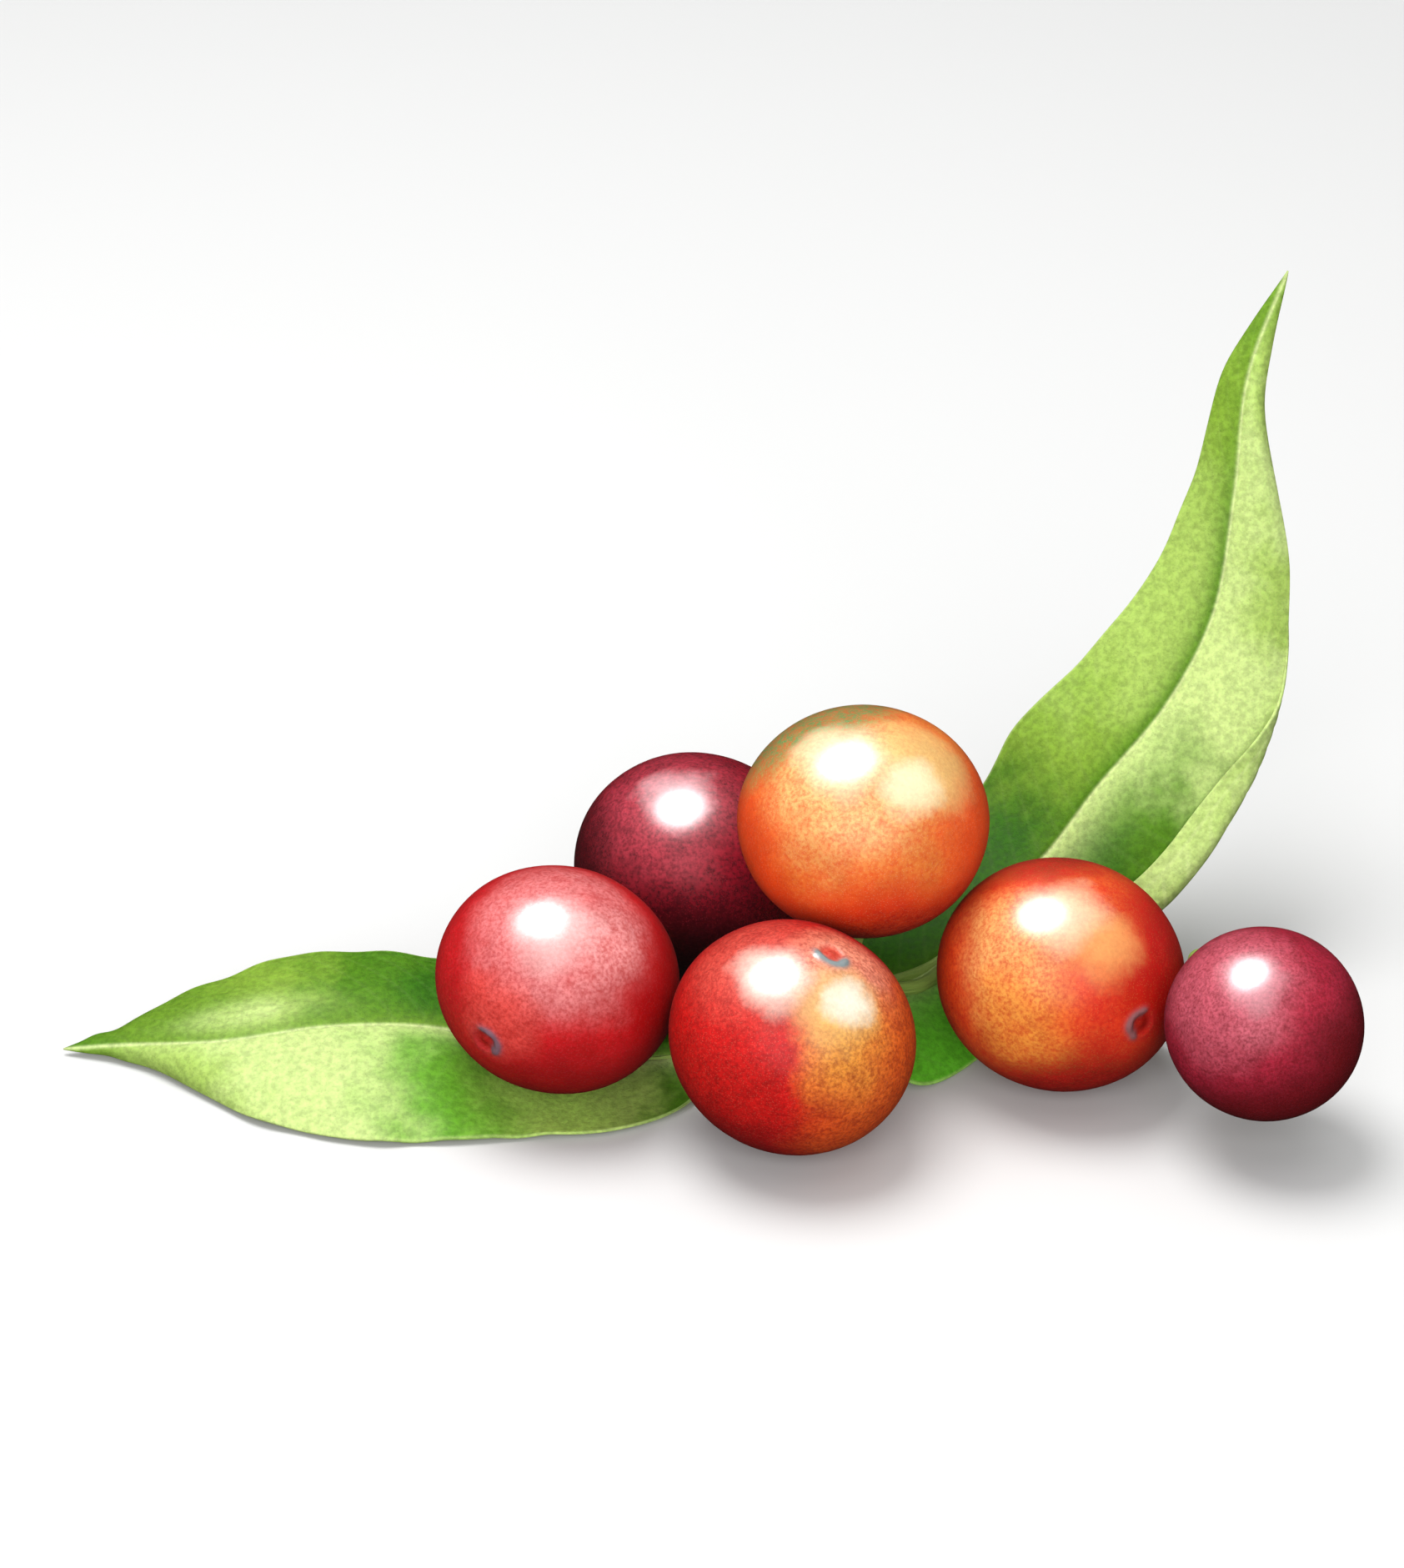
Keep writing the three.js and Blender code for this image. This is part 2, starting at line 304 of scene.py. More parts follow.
def place_piece(made: bpy.types.Object, material: bpy.types.Material, node: str) -> None:
    """Gives a piece its finish and its place in the frame.

    Args:
        made: The piece.
        material: Its finish.
        node: The solid that it stands for.
    """
    made.data.materials.append(material)
    made.visible_glossy = False
    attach(made, BODY)
    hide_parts(node)
    LOG.info("%s stands for %s, with %d points", made.name, node, len(made.data.vertices))


# Shader nodes


class Board:
    """A node tree that is being wired."""

    def __init__(self, tree: bpy.types.NodeTree) -> None:
        """Starts on a tree."""
        self.tree = tree

    def add(
        self, kind: str, inputs: Mapping[str | int, object] | None = None, **settings: object
    ) -> bpy.types.Node:
        """Adds a node.

        Args:
            kind: The node's type.
            inputs: What goes into its sockets: a value, or the socket it comes from.
            **settings: The node's own settings.

        Returns:
            The node.
        """
        node = self.tree.nodes.new(kind)
        for name, value in settings.items():
            setattr(node, name, value)
        self.fill(node, inputs or {})
        return node

    def fill(self, node: bpy.types.Node, inputs: Mapping[str | int, object]) -> None:
        """Fills a node's sockets.

        Args:
            node: The node.
            inputs: What goes into each socket: a value, or the socket it comes from.
        """
        for key, value in inputs.items():
            if isinstance(value, bpy.types.NodeSocket):
                self.tree.links.new(value, node.inputs[key])
            else:
                node.inputs[key].default_value = value

    def group(self, tree: bpy.types.NodeTree, inputs: Mapping[str, object]) -> bpy.types.Node:
        """Adds one of the shared groups and returns its node."""
        return self.add("ShaderNodeGroup", inputs, node_tree=tree)

    def math(self, operation: str, *values: Socket | float) -> Socket:
        """Adds a Math node and returns its result."""
        return self.add("ShaderNodeMath", dict(enumerate(values)), operation=operation).outputs[0]

    def line(self, value: Socket, slope: float, start: Socket | float) -> Socket:
        """Returns a value that starts at start and rises by slope as value goes from 0 to 1."""
        return self.math("MULTIPLY_ADD", value, slope, start)

    def vector(self, operation: str, inputs: Mapping[str | int, object]) -> Socket:
        """Adds a Vector Math node and returns its vector."""
        return self.add("ShaderNodeVectorMath", inputs, operation=operation).outputs["Vector"]

    def step(self, value: Socket, low: Socket | float, high: Socket | float) -> Socket:
        """Returns a mask that rises smoothly from 0 at low to 1 at high."""
        inputs = {"Value": value, "From Min": low, "From Max": high}
        return self.add("ShaderNodeMapRange", inputs, interpolation_type="SMOOTHSTEP").outputs[0]

    def mix(self, share: Socket | float, first: object, second: object) -> Socket:
        """Returns the colour that goes from first to second as share goes from 0 to 1."""
        inputs = {0: share, 6: first, 7: second}
        return self.add("ShaderNodeMix", inputs, data_type="RGBA").outputs[2]

    def cover(self, under: object, tint: Tint, mask: Socket, strength: float = 1.0) -> Socket:
        """Lays a tint over a colour.

        Args:
            under: The colour that is there before.
            tint: The tint.
            mask: Where the tint lies, from 0 to 1.
            strength: How much of the tint covers the colour there.

        Returns:
            The colour with the tint.
        """
        share = mask if strength == 1.0 else self.math("MULTIPLY", mask, strength)
        return self.mix(share, under, tint.linear())

    def toned(self, colour: object, tone: Socket) -> Socket:
        """Returns the colour, made lighter or darker by tone."""
        node = self.add("ShaderNodeHueSaturation", {"Color": colour, "Value": tone})
        return node.outputs["Color"]

    def relief(self, height: Socket, strength: float, depth: float) -> Socket:
        """Returns the normal of a surface with fine bumps, depth metres deep."""
        inputs = {"Strength": strength, "Distance": depth, "Height": height}
        return self.add("ShaderNodeBump", inputs).outputs["Normal"]

    def mark(self, name: str) -> Socket:
        """Returns a value that the mesh carries."""
        return self.add("ShaderNodeAttribute", attribute_name=name).outputs["Fac"]

    def place(self) -> Socket:
        """Returns the place on the object, in metres from its origin."""
        return self.add("ShaderNodeTexCoord").outputs["Object"]

    def noise(
        self, place: Socket, scale: Socket | float, detail: float, rough: float = 0.5
    ) -> bpy.types.NodeOutputs:
        """Adds cloudy noise and returns its outputs: Fac, round 0.5, and Color."""
        inputs = {"Vector": place, "Scale": scale, "Detail": detail, "Roughness": rough}
        return self.add("ShaderNodeTexNoise", inputs).outputs

    def cloud(self, place: Socket, scale: float, detail: float, low: float, high: float) -> Socket:
        """Makes soft clouds.

        Args:
            place: Where the clouds are read.
            scale: How close together they are.
            detail: How finely they are broken up.
            low: The noise value up to which there is no cloud.
            high: The noise value from which the cloud is full.

        Returns:
            The mask, from 0 to 1.
        """
        return self.step(self.noise(place, scale, detail)["Fac"], low, high)

    def ramp(self, value: Socket, stops: Sequence[tuple[float, Tint]]) -> Socket:
        """Passes through tints as value rises.

        Args:
            value: What is followed, from 0 to 1.
            stops: Where each tint is reached.

        Returns:
            The colour.
        """
        node = self.add("ShaderNodeValToRGB", {"Fac": value})
        band = node.color_ramp
        band.interpolation = "EASE"
        while len(band.elements) < len(stops):
            band.elements.new(0.5)
        for element, (place, tint) in zip(band.elements, stops):
            element.position = place
            element.color = tint.linear()
        return node.outputs["Color"]


class Effects:
    """The effects that several finishes share, each a node group that is built once."""

    ROUGHNESS = 0.62
    EDGE_SCALE = 1.8
    EDGE_DETAIL = 6.0
    GRAIN_DETAIL = 5.0
    DOT_FINENESS = 1.9
    MOTTLE_EDGE = (0.3, 0.7)
    DOT_EDGE = (0.12, 0.34)
    DOT_HEIGHT = 0.5
    VEIN_BEND = 1.6
    VEIN_EDGE = (0.03, 0.12)
    VEIN_ENDS = (0.86, 0.92)
    RIM_VEIN = 0.92
    RIM_EDGE = (0.004, 0.016)

    def __init__(self) -> None:
        """Builds the groups, and keeps the materials that finishes make."""
        self.patch = self._patch()
        self.grain = self._grain()
        self.veins = self._veins()
        self.made: dict[str, bpy.types.Material] = {}

    @staticmethod
    def _group(
        name: str, vectors: Sequence[str], values: Sequence[str], results: Sequence[str]
    ) -> tuple[Board, bpy.types.NodeOutputs, bpy.types.Node]:
        """Starts a group.

        Args:
            name: The group's name.
            vectors: The names of the vectors that it takes.
            values: The names of the plain values that it takes.
            results: The names of the values that it puts out.

        Returns:
            The group's board, what it takes, and the node for what it puts out.
        """
        tree = bpy.data.node_groups.new(name, "ShaderNodeTree")
        sockets = [(socket, "INPUT", "NodeSocketVector") for socket in vectors]
        sockets += [(socket, "INPUT", "NodeSocketFloat") for socket in values]
        sockets += [(socket, "OUTPUT", "NodeSocketFloat") for socket in results]
        for socket, side, kind in sockets:
            tree.interface.new_socket(socket, in_out=side, socket_type=kind)
        board = Board(tree)
        return board, board.add("NodeGroupInput").outputs, board.add("NodeGroupOutput")

    def _patch(self) -> bpy.types.NodeTree:
        """Builds the group that marks one side of a round thing, with a wandering edge.

        Returns:
            The group.
        """
        board, given, result = self._group(
            "patch", ["Place", "Toward"], ["Reach", "Softness", "Wander"], ["Mask"]
        )
        noise = board.noise(given["Place"], self.EDGE_SCALE, self.EDGE_DETAIL, self.ROUGHNESS)
        centred = board.vector("SUBTRACT", {0: noise["Color"], 1: (0.5, 0.5, 0.5)})
        drift = board.vector("SCALE", {0: centred, "Scale": given["Wander"]})
        moved = board.vector("ADD", {0: given["Place"], 1: drift})
        ahead = board.vector("NORMALIZE", {0: moved})
        inputs = {0: ahead, 1: given["Toward"]}
        share = board.add("ShaderNodeVectorMath", inputs, operation="DOT_PRODUCT")
        low = board.math("SUBTRACT", given["Reach"], given["Softness"])
        high = board.math("ADD", given["Reach"], given["Softness"])
        board.fill(result, {"Mask": board.step(share.outputs["Value"], low, high)})
        return board.tree

    def _grain(self) -> bpy.types.NodeTree:
        """Builds the group for fine mottling and small dots on a skin, a leaf or bark.

        Returns:
            The group.
        """
        board, given, result = self._group(
            "grain", ["Place"], ["Fineness"], ["Mottle", "Dots", "Height"]
        )
        place, fineness = given["Place"], given["Fineness"]
        noise = board.noise(place, fineness, self.GRAIN_DETAIL, self.ROUGHNESS)
        mottle = board.step(noise["Fac"], *self.MOTTLE_EDGE)
        closer = board.math("MULTIPLY", fineness, self.DOT_FINENESS)
        cells = board.add("ShaderNodeTexVoronoi", {"Vector": place, "Scale": closer})
        off = board.step(cells.outputs["Distance"], *self.DOT_EDGE)
        dots = board.math("SUBTRACT", 1.0, off)
        height = board.line(dots, self.DOT_HEIGHT, mottle)
        board.fill(result, {"Mottle": mottle, "Dots": dots, "Height": height})
        return board.tree

    def _veins(self) -> bpy.types.NodeTree:
        """Builds the group for the side veins of a leaf, which meet short of its margin.

        Returns:
            The group.
        """
        board, given, result = self._group(
            "veins", [], ["Along", "Across", "Count", "Slant"], ["Vein", "Quilt"]
        )
        share = board.math("ABSOLUTE", given["Across"])
        bend = board.math("POWER", share, self.VEIN_BEND)
        slanted = board.math("MULTIPLY", bend, given["Slant"])
        turned = board.math("SUBTRACT", given["Along"], slanted)
        phase = board.math("FRACT", board.math("MULTIPLY", turned, given["Count"]))
        off = board.math("ABSOLUTE", board.math("SUBTRACT", phase, 0.5))
        line = board.math("SUBTRACT", 1.0, board.step(off, *self.VEIN_EDGE))
        inside = board.math("SUBTRACT", 1.0, board.step(share, *self.VEIN_ENDS))
        hem = board.math("ABSOLUTE", board.math("SUBTRACT", share, self.RIM_VEIN))
        rim = board.math("SUBTRACT", 1.0, board.step(hem, *self.RIM_EDGE))
        vein = board.math("MAXIMUM", board.math("MULTIPLY", line, inside), rim)
        quilt = board.math("MULTIPLY", board.step(off, 0.0, 0.5), inside)
        board.fill(result, {"Vein": vein, "Quilt": quilt})
        return board.tree


# Finishes


class Finish:
    """What every finish shares: a material that is made once and then handed out."""

    name: str

    def material(self, effects: Effects) -> bpy.types.Material:
        """Makes the material, or finds it if it is made.

        Args:
            effects: The shared node groups.

        Returns:
            The material.
        """
        if self.name not in effects.made:
            made = bpy.data.materials.new(self.name)
            made.use_nodes = True
            board = Board(made.node_tree)
            shader = made.node_tree.nodes["Principled BSDF"]
            board.fill(shader, self.look(board, effects))
            effects.made[self.name] = made
        return effects.made[self.name]

    def look(self, board: Board, effects: Effects) -> dict[str, object]:
        """Wires the finish.

        Args:
            board: The material's node tree.
            effects: The shared node groups.

        Returns:
            What goes into the sockets of the material's shader, by their names.
        """
        raise NotImplementedError


@dataclass(frozen=True)
class ColourOrPaintedLight:
    """A patch on a fruit's skin: a colour the skin has, or painted light, shade or highlight.

    Attributes:
        right: How far right of the fruit's middle it is, in radii, as seen from the front.
        up: How far above the middle.
        tint: Its colour.
        reach: How far it reaches round the fruit, in degrees.
        softness: How gently it fades, from 0 to 1.
        strength: How much of it covers the skin.
    """

    right: float
    up: float
    tint: Tint
    reach: float
    softness: float
    strength: float


@dataclass(frozen=True)
class SkinFinish(Finish):
    """Glossy fruit skin: colour patches, painted light, shade and highlights, flecks, dots and
    scar.

    Attributes:
        name: The material's name.
        radius: The fruit's radius, which sets the scale of the pattern.
        main: The colour between the patches.
        colours_and_painted_light: Patches of colour, painted shade and painted light, each over
            the ones before.
        painted_highlights: Painted highlights and their halos, which lie over the flecks.
        fleck: The colour of the fine dark flecks.
        dot: The colour of the small pale dots.
        dish: The colour inside the scar.
        scar: The colour of the scar's rim.
        deep: The colour of the skin round the stalk.
    """

    name: str
    radius: float
    main: Tint
    colours_and_painted_light: tuple[ColourOrPaintedLight, ...]
    painted_highlights: tuple[ColourOrPaintedLight, ...]
    fleck: Tint
    dot: Tint
    dish: Tint
    scar: Tint = Tint.SCAR_DUSKY
    deep: Tint = Tint.STALK_END

    FINENESS = 32.0
    WANDER = 0.55
    BLOTCHES = (9.0, 6.0, 0.45, 0.66)
    BLOTCH_STRENGTH = 0.24
    FLECK_BEND = 1.3
    FLECK_STRENGTH = 0.58
    DOT_STRENGTH = 0.16
    CLOUDS = (3.4, 5.0, 0.34, 0.7)
    CLOUD_TONE = 0.16
    GRAIN_TONE = 0.14
    LEAST_TONE = 0.92
    LEAST_ROUGHNESS = 0.42
    GRAIN_ROUGHNESS = 0.08
    SCAR_ROUGHNESS = 0.25
    BUMPS = (0.3, 0.00008)

    def look(self, board: Board, effects: Effects) -> dict[str, object]:
        """Wires the skin: colour, painted light, shade and highlights, flecks, dots, scar and
        stalk ring.

        Args:
            board: The material's node tree.
            effects: The shared node groups.

        Returns:
            What goes into the sockets of the material's shader, by their names.
        """
        place = board.vector("SCALE", {0: board.place(), "Scale": 1.0 / (self.radius * MM)})
        grain = board.group(effects.grain, {"Place": place, "Fineness": self.FINENESS}).outputs
        colour: Socket | tuple = self.main.linear()
        # patches of colour, with painted shade low on the skin and painted light near the
        # highlight
        for colour_or_light in self.colours_and_painted_light:
            colour = self._with_colour_or_light(board, effects, place, colour_or_light, colour)
        flecks = board.math("POWER", board.math("SUBTRACT", 1.0, grain["Mottle"]), self.FLECK_BEND)
        blotches = board.cloud(place, *self.BLOTCHES)
        colour = board.cover(colour, self.fleck, blotches, self.BLOTCH_STRENGTH)
        colour = board.cover(colour, self.fleck, flecks, self.FLECK_STRENGTH)
        colour = board.cover(colour, self.dot, grain["Dots"], self.DOT_STRENGTH)
        # painted highlights, laid over the flecks
        for painted_highlight in self.painted_highlights:
            colour = self._with_colour_or_light(board, effects, place, painted_highlight, colour)
        tone = board.line(board.cloud(place, *self.CLOUDS), self.CLOUD_TONE, self.LEAST_TONE)
        tone = board.line(grain["Mottle"], self.GRAIN_TONE, tone)
        colour = board.cover(board.toned(colour, tone), self.deep, board.mark("stalk_end"))
        colour = board.cover(colour, self.dish, board.mark("scar_dish"))
        rim = board.mark("scar_rim")
        rough = board.line(grain["Mottle"], self.GRAIN_ROUGHNESS, self.LEAST_ROUGHNESS)
        return {
            "Base Color": board.cover(colour, self.scar, rim),
            "Roughness": board.line(rim, self.SCAR_ROUGHNESS, rough),
            "Coat Weight": board.math("SUBTRACT", 1.0, board.mark("scar_matt")),
            "Normal": board.relief(grain["Height"], *self.BUMPS),
            "IOR": 1.5,
            "Specular IOR Level": 0.12,
            "Coat Roughness": 0.27,
            "Coat IOR": 2.7,
            "Subsurface Weight": 0.08,
            "Subsurface Radius": (1.0, 0.35, 0.2),
            "Subsurface Scale": 0.0015,
        }

    def _with_colour_or_light(
        self, board: Board, effects: Effects, place: Socket, colour_or_light: ColourOrPaintedLight, colour: Socket | tuple
    ) -> Socket:
        """Lays a patch over a colour.

        Args:
            board: The material's node tree.
            effects: The shared node groups.
            place: The place on the fruit, in radii from its middle.
            colour_or_light: The patch, a colour of the skin or painted light or shade.
            colour: What is there before.

        Returns:
            The colour with the patch.
        """
        inputs = {
            "Place": place,
            "Toward": tuple(facing(colour_or_light.right, colour_or_light.up)),
            "Reach": math.cos(math.radians(colour_or_light.reach)),
            "Softness": colour_or_light.softness,
            "Wander": self.WANDER,
        }
        mask = board.group(effects.patch, inputs).outputs["Mask"]
        return board.cover(colour, colour_or_light.tint, mask, colour_or_light.strength)


@dataclass(frozen=True)
class LeafFinish(Finish):
    """A satin leaf, paler below; the greens of its two halves above are mostly painted light and
    shade.

    Attributes:
        name: The material's name.
        left: The left half's tints from base to tip, looking at the upper face from the base,
            mostly painted light and shade.
        right: The right half's, also mostly painted light and shade.
        rib_strip_light_and_shade: The painted light or shade beside the midrib, on the left and on
            the right.
    """

    name: str
    left: tuple[tuple[float, Tint], ...]
    right: tuple[tuple[float, Tint], ...]
    rib_strip_light_and_shade: tuple[Tint, Tint]

    FINENESS = 1500.0
    VEIN_COUNT = 26.0
    VEIN_SLANT = 0.1
    CLOUDS = (190.0, 5.0, 0.25, 0.75)
    DRIFT = 0.07
    HALVES = (-0.015, 0.015)
    UPPER_VEIN = 0.02
    UPPER_RIB = 0.75
    LOWER_VEIN = 0.22
    LOWER_RIB = 0.8
    MARGIN = (0.965, 0.995)
    MARGIN_STRENGTH = 0.45
    LEAST_TONE = 0.8
    GRAIN_TONE = 0.4
    DOT_TONE = -0.1
    LEAST_ROUGHNESS = 0.48
    GRAIN_ROUGHNESS = 0.12
    UNDER_ROUGHNESS = 0.12
    QUILT = 0.4
    BUMPS = (0.3, 0.00008)

    def look(self, board: Board, effects: Effects) -> dict[str, object]:
        """Wires the leaf: halves and strips of painted light and shade, midrib, veins, margin,
        mottling, underside.

        Args:
            board: The material's node tree.
            effects: The shared node groups.

        Returns:
            What goes into the sockets of the material's shader, by their names.
        """
        along, across = board.mark("along"), board.mark("across")
        under, rib = board.mark("under"), board.mark("rib")
        place = board.place()
        grain = board.group(effects.grain, {"Place": place, "Fineness": self.FINENESS}).outputs
        inputs = {"Count": self.VEIN_COUNT, "Slant": self.VEIN_SLANT}
        veins = board.group(effects.veins, {"Along": along, "Across": across, **inputs}).outputs
        cloud = board.cloud(place, *self.CLOUDS)
        drift = board.line(board.math("SUBTRACT", cloud, 0.5), self.DRIFT, along)
        # painted light and shade: the halves' ramps, and the strips beside the midrib
        strip = board.mark("rib_strip_light_and_shade")
        left = board.cover(board.ramp(drift, self.left), self.rib_strip_light_and_shade[0], strip)
        right = board.cover(board.ramp(drift, self.right), self.rib_strip_light_and_shade[1], strip)
        upper = board.mix(board.step(across, *self.HALVES), left, right)
        # a painted highlight on the upper face
        gleam = board.math("MULTIPLY", board.mark("gleam"), board.line(cloud, 0.5, 0.5))
        upper = board.cover(upper, Tint.LEAF_PALE, gleam)
        upper = board.cover(upper, Tint.RIB, veins["Vein"], self.UPPER_VEIN)
        upper = board.cover(upper, Tint.RIB, rib, self.UPPER_RIB)
        lower = board.cover(Tint.LEAF_UNDER.linear(), Tint.LEAF_PALE, cloud)
        lower = board.cover(lower, Tint.RIB, veins["Vein"], self.LOWER_VEIN)
        lower = board.cover(lower, Tint.RIB, rib, self.LOWER_RIB)
        margin = board.step(board.math("ABSOLUTE", across), *self.MARGIN)
        colour = board.mix(under, upper, lower)
        colour = board.cover(colour, Tint.LEAF_PALE, margin, self.MARGIN_STRENGTH)
        tone = board.line(grain["Mottle"], self.GRAIN_TONE, self.LEAST_TONE)
        tone = board.line(grain["Dots"], self.DOT_TONE, tone)
        rough = board.line(grain["Mottle"], self.GRAIN_ROUGHNESS, self.LEAST_ROUGHNESS)
        height = board.line(veins["Quilt"], self.QUILT, grain["Height"])
        return {
            "Base Color": board.toned(colour, tone),
            "Roughness": board.line(under, self.UNDER_ROUGHNESS, rough),
            "Normal": board.relief(height, *self.BUMPS),
            "Specular IOR Level": 0.14,
            "Subsurface Weight": 0.12,
            "Subsurface Radius": (0.4, 1.0, 0.2),
            "Subsurface Scale": 0.0008,
        }


@dataclass(frozen=True)
class BarkFinish(Finish):
    """Thin bark with fine fibres and pale pores, and the cut wood with its pith.

    Attributes:
        name: The material's name.
        main: The bark's colour.
        dark: The colour in its furrows.
        pale: The colour of its pores.
        young: The colour towards the thin end.
    """

    name: str
    main: Tint
    dark: Tint
    pale: Tint
    young: Tint

    FINENESS = 2.4
    STRETCH = 0.22
    STREAKS = (3.2, 6.0, 0.32, 0.68)
    YOUNG_PART = (0.35, 0.95)
    PORE_STRENGTH = 0.7
    PORE_HEIGHT = 0.6
    PITH_EDGE = (0.25, 0.38)
    BARK_EDGE = (0.8, 0.93)
    ON_CUT = (-0.5, -0.4)
    BUMPS = (0.5, 0.00012)

    def look(self, board: Board, effects: Effects) -> dict[str, object]:
        """Wires the bark: fibres along the stem, pores, the young end and the cut.

        Args:
            board: The material's node tree.
            effects: The shared node groups.

        Returns:
            What goes into the sockets of the material's shader, by their names.
        """
        cut, turn = board.mark("cut"), board.mark("turn")
        stretched = board.math("MULTIPLY", board.mark("length"), self.STRETCH)
        inputs = {0: stretched, 1: board.math("SINE", turn), 2: board.math("COSINE", turn)}
        fibre = board.add("ShaderNodeCombineXYZ", inputs).outputs[0]
        streaks = board.cloud(fibre, *self.STREAKS)
        grain = board.group(effects.grain, {"Place": fibre, "Fineness": self.FINENESS}).outputs
        bark = board.cover(self.dark.linear(), self.main, streaks)
        bark = board.cover(bark, self.young, board.step(board.mark("along"), *self.YOUNG_PART))
        bark = board.cover(bark, self.pale, grain["Dots"], self.PORE_STRENGTH)
        wood = board.cover(Tint.PITH.linear(), Tint.WOOD, board.step(cut, *self.PITH_EDGE))
        wood = board.cover(wood, self.dark, board.step(cut, *self.BARK_EDGE))
        height = board.line(grain["Dots"], self.PORE_HEIGHT, streaks)
        return {
            "Base Color": board.mix(board.step(cut, *self.ON_CUT), bark, wood),
            "Roughness": board.line(streaks, 0.15, 0.6),
            "Normal": board.relief(height, *self.BUMPS),
        }


@dataclass(frozen=True)
class FloorFinish(Finish):
    """A plain pale studio floor.

    Attributes:
        name: The material's name.
    """

    name: str = "pale_floor"

    def look(self, board: Board, effects: Effects) -> dict[str, object]:
        """Wires the floor: nearly white and matt, with the faintest clouding.

        Args:
            board: The material's node tree.
            effects: The shared node groups.

        Returns:
            What goes into the sockets of the material's shader, by their names.
        """
        tone = board.line(board.noise(board.place(), 6.0, 2.0)["Fac"], 0.01, 0.995)
        return {
            "Base Color": board.toned(Tint.FLOOR.linear(), tone),
            "Roughness": 0.9,
            "Specular IOR Level": 0.2,
        }


# Stems


@dataclass(frozen=True)
class Stem:
    """A round stem that follows a curve: the twig, a stalk or a petiole.

    Attributes:
        name: The piece's name.
        path: The points that it follows.
        radius: Its radius at a share of its length.
        steps: The number of rings.
        sides: The number of places on a ring.
        rough: How far its surface wanders, as a share of the radius.
        cut: Whether its first end is a fresh cut.
    """

    name: str
    path: Guide
    radius: Callable[[np.ndarray], np.ndarray]
    steps: int = 60
    sides: int = 24
    rough: float = 0.03
    cut: bool = False

    CREASE = math.radians(50.0)
    BUMPS_ALONG = 0.7
    BUMPS_ROUND = 1.3
    TIP_SHARES = (0.5, 0.85)
    CUT_SHARES = (0.2, 0.36, 0.55, 0.8, 0.93)

    def build(self) -> bpy.types.Object:
        """Builds the stem with rounded or cut ends.

        Returns:
            The stem, in the scene.
        """
        along = np.linspace(0.0, 1.0, self.steps)
        spine = self.path.evenly(self.steps) + SPRIG_PLACE
        ahead = unit(np.gradient(spine, axis=0))
        across = np.zeros_like(ahead)
        across[0] = unit(np.cross(ahead[0], [0.0, 0.0, 1.0]))
        for row in range(1, self.steps):
            carried = across[row - 1] - ahead[row] * (across[row - 1] @ ahead[row])
            across[row] = unit(carried)
        beside = np.cross(ahead, across)
        turn = np.linspace(0.0, 2 * math.pi, self.sides, endpoint=False)
        cosine, sine = np.cos(turn)[None, :, None], np.sin(turn)[None, :, None]
        spokes = cosine * across[:, None] + sine * beside[:, None]
        radii = self.radius(along)[:, None] * np.ones(self.sides)[None]
        length = float(np.linalg.norm(np.diff(spine, axis=0), axis=1).sum())
        radii = radii * (1.0 + self.rough * self._wander(along * length, turn))
        rings = spine[:, None] + spokes * radii[..., None]
        rings, rows = self._close(rings, spine, spokes, radii)
        marks = {
            "along": np.repeat(along[rows][:, None], self.sides, axis=1),
            "length": np.repeat((along * length)[rows][:, None], self.sides, axis=1),
            "turn": np.repeat(turn[None], len(rows), axis=0),
            "cut": self._cut_share(len(rows)),
        }
        return skin_over(self.name, rings, marks, self.CREASE)

    def _wander(self, lengths: np.ndarray, turn: np.ndarray) -> np.ndarray:
        """Makes the surface uneven.

        Args:
            lengths: How far along the stem each ring is.
            turn: The angle of each place on a ring.

        Returns:
            A bumpy value between -1 and 1, by ring and by place.
        """
        size = self.BUMPS_ROUND
        ring = [(math.cos(angle) * size, math.sin(angle) * size) for angle in turn]
        rows = [
            [noise.noise(Vector((length * self.BUMPS_ALONG, *place))) for place in ring]
            for length in lengths
        ]
        return np.array(rows)

    def _close(
        self, rings: np.ndarray, spine: np.ndarray, spokes: np.ndarray, radii: np.ndarray
    ) -> tuple[np.ndarray, np.ndarray]:
        """Adds smaller rings at both ends.

        Args:
            rings: The rings along the stem.
            spine: The middle of each.
            spokes: The directions from there to its places.
            radii: How far away each place is.

        Returns:
            All the rings, and for each the ring along the stem that it belongs to.
        """
        shares = self.CUT_SHARES if self.cut else self.TIP_SHARES
        start = [spine[0] + spokes[0] * (radii[0] * share)[:, None] for share in shares]
        shares = self.TIP_SHARES[::-1]
        end = [spine[-1] + spokes[-1] * (radii[-1] * share)[:, None] for share in shares]
        whole = np.concatenate([np.array(start), rings, np.array(end)])
        rows = np.pad(np.arange(len(spine)), (len(start), len(end)), mode="edge")
        return whole, rows

    def _cut_share(self, rows: int) -> np.ndarray:
        """Marks the cut face.

        Args:
            rows: The number of rings.

        Returns:
            The share of the radius on the cut face, and -1 everywhere else.
        """
        marks = np.full((rows, self.sides), -1.0)
        if self.cut:
            marks[: len(self.CUT_SHARES)] = np.array(self.CUT_SHARES)[:, None]
        return marks


# Fruits


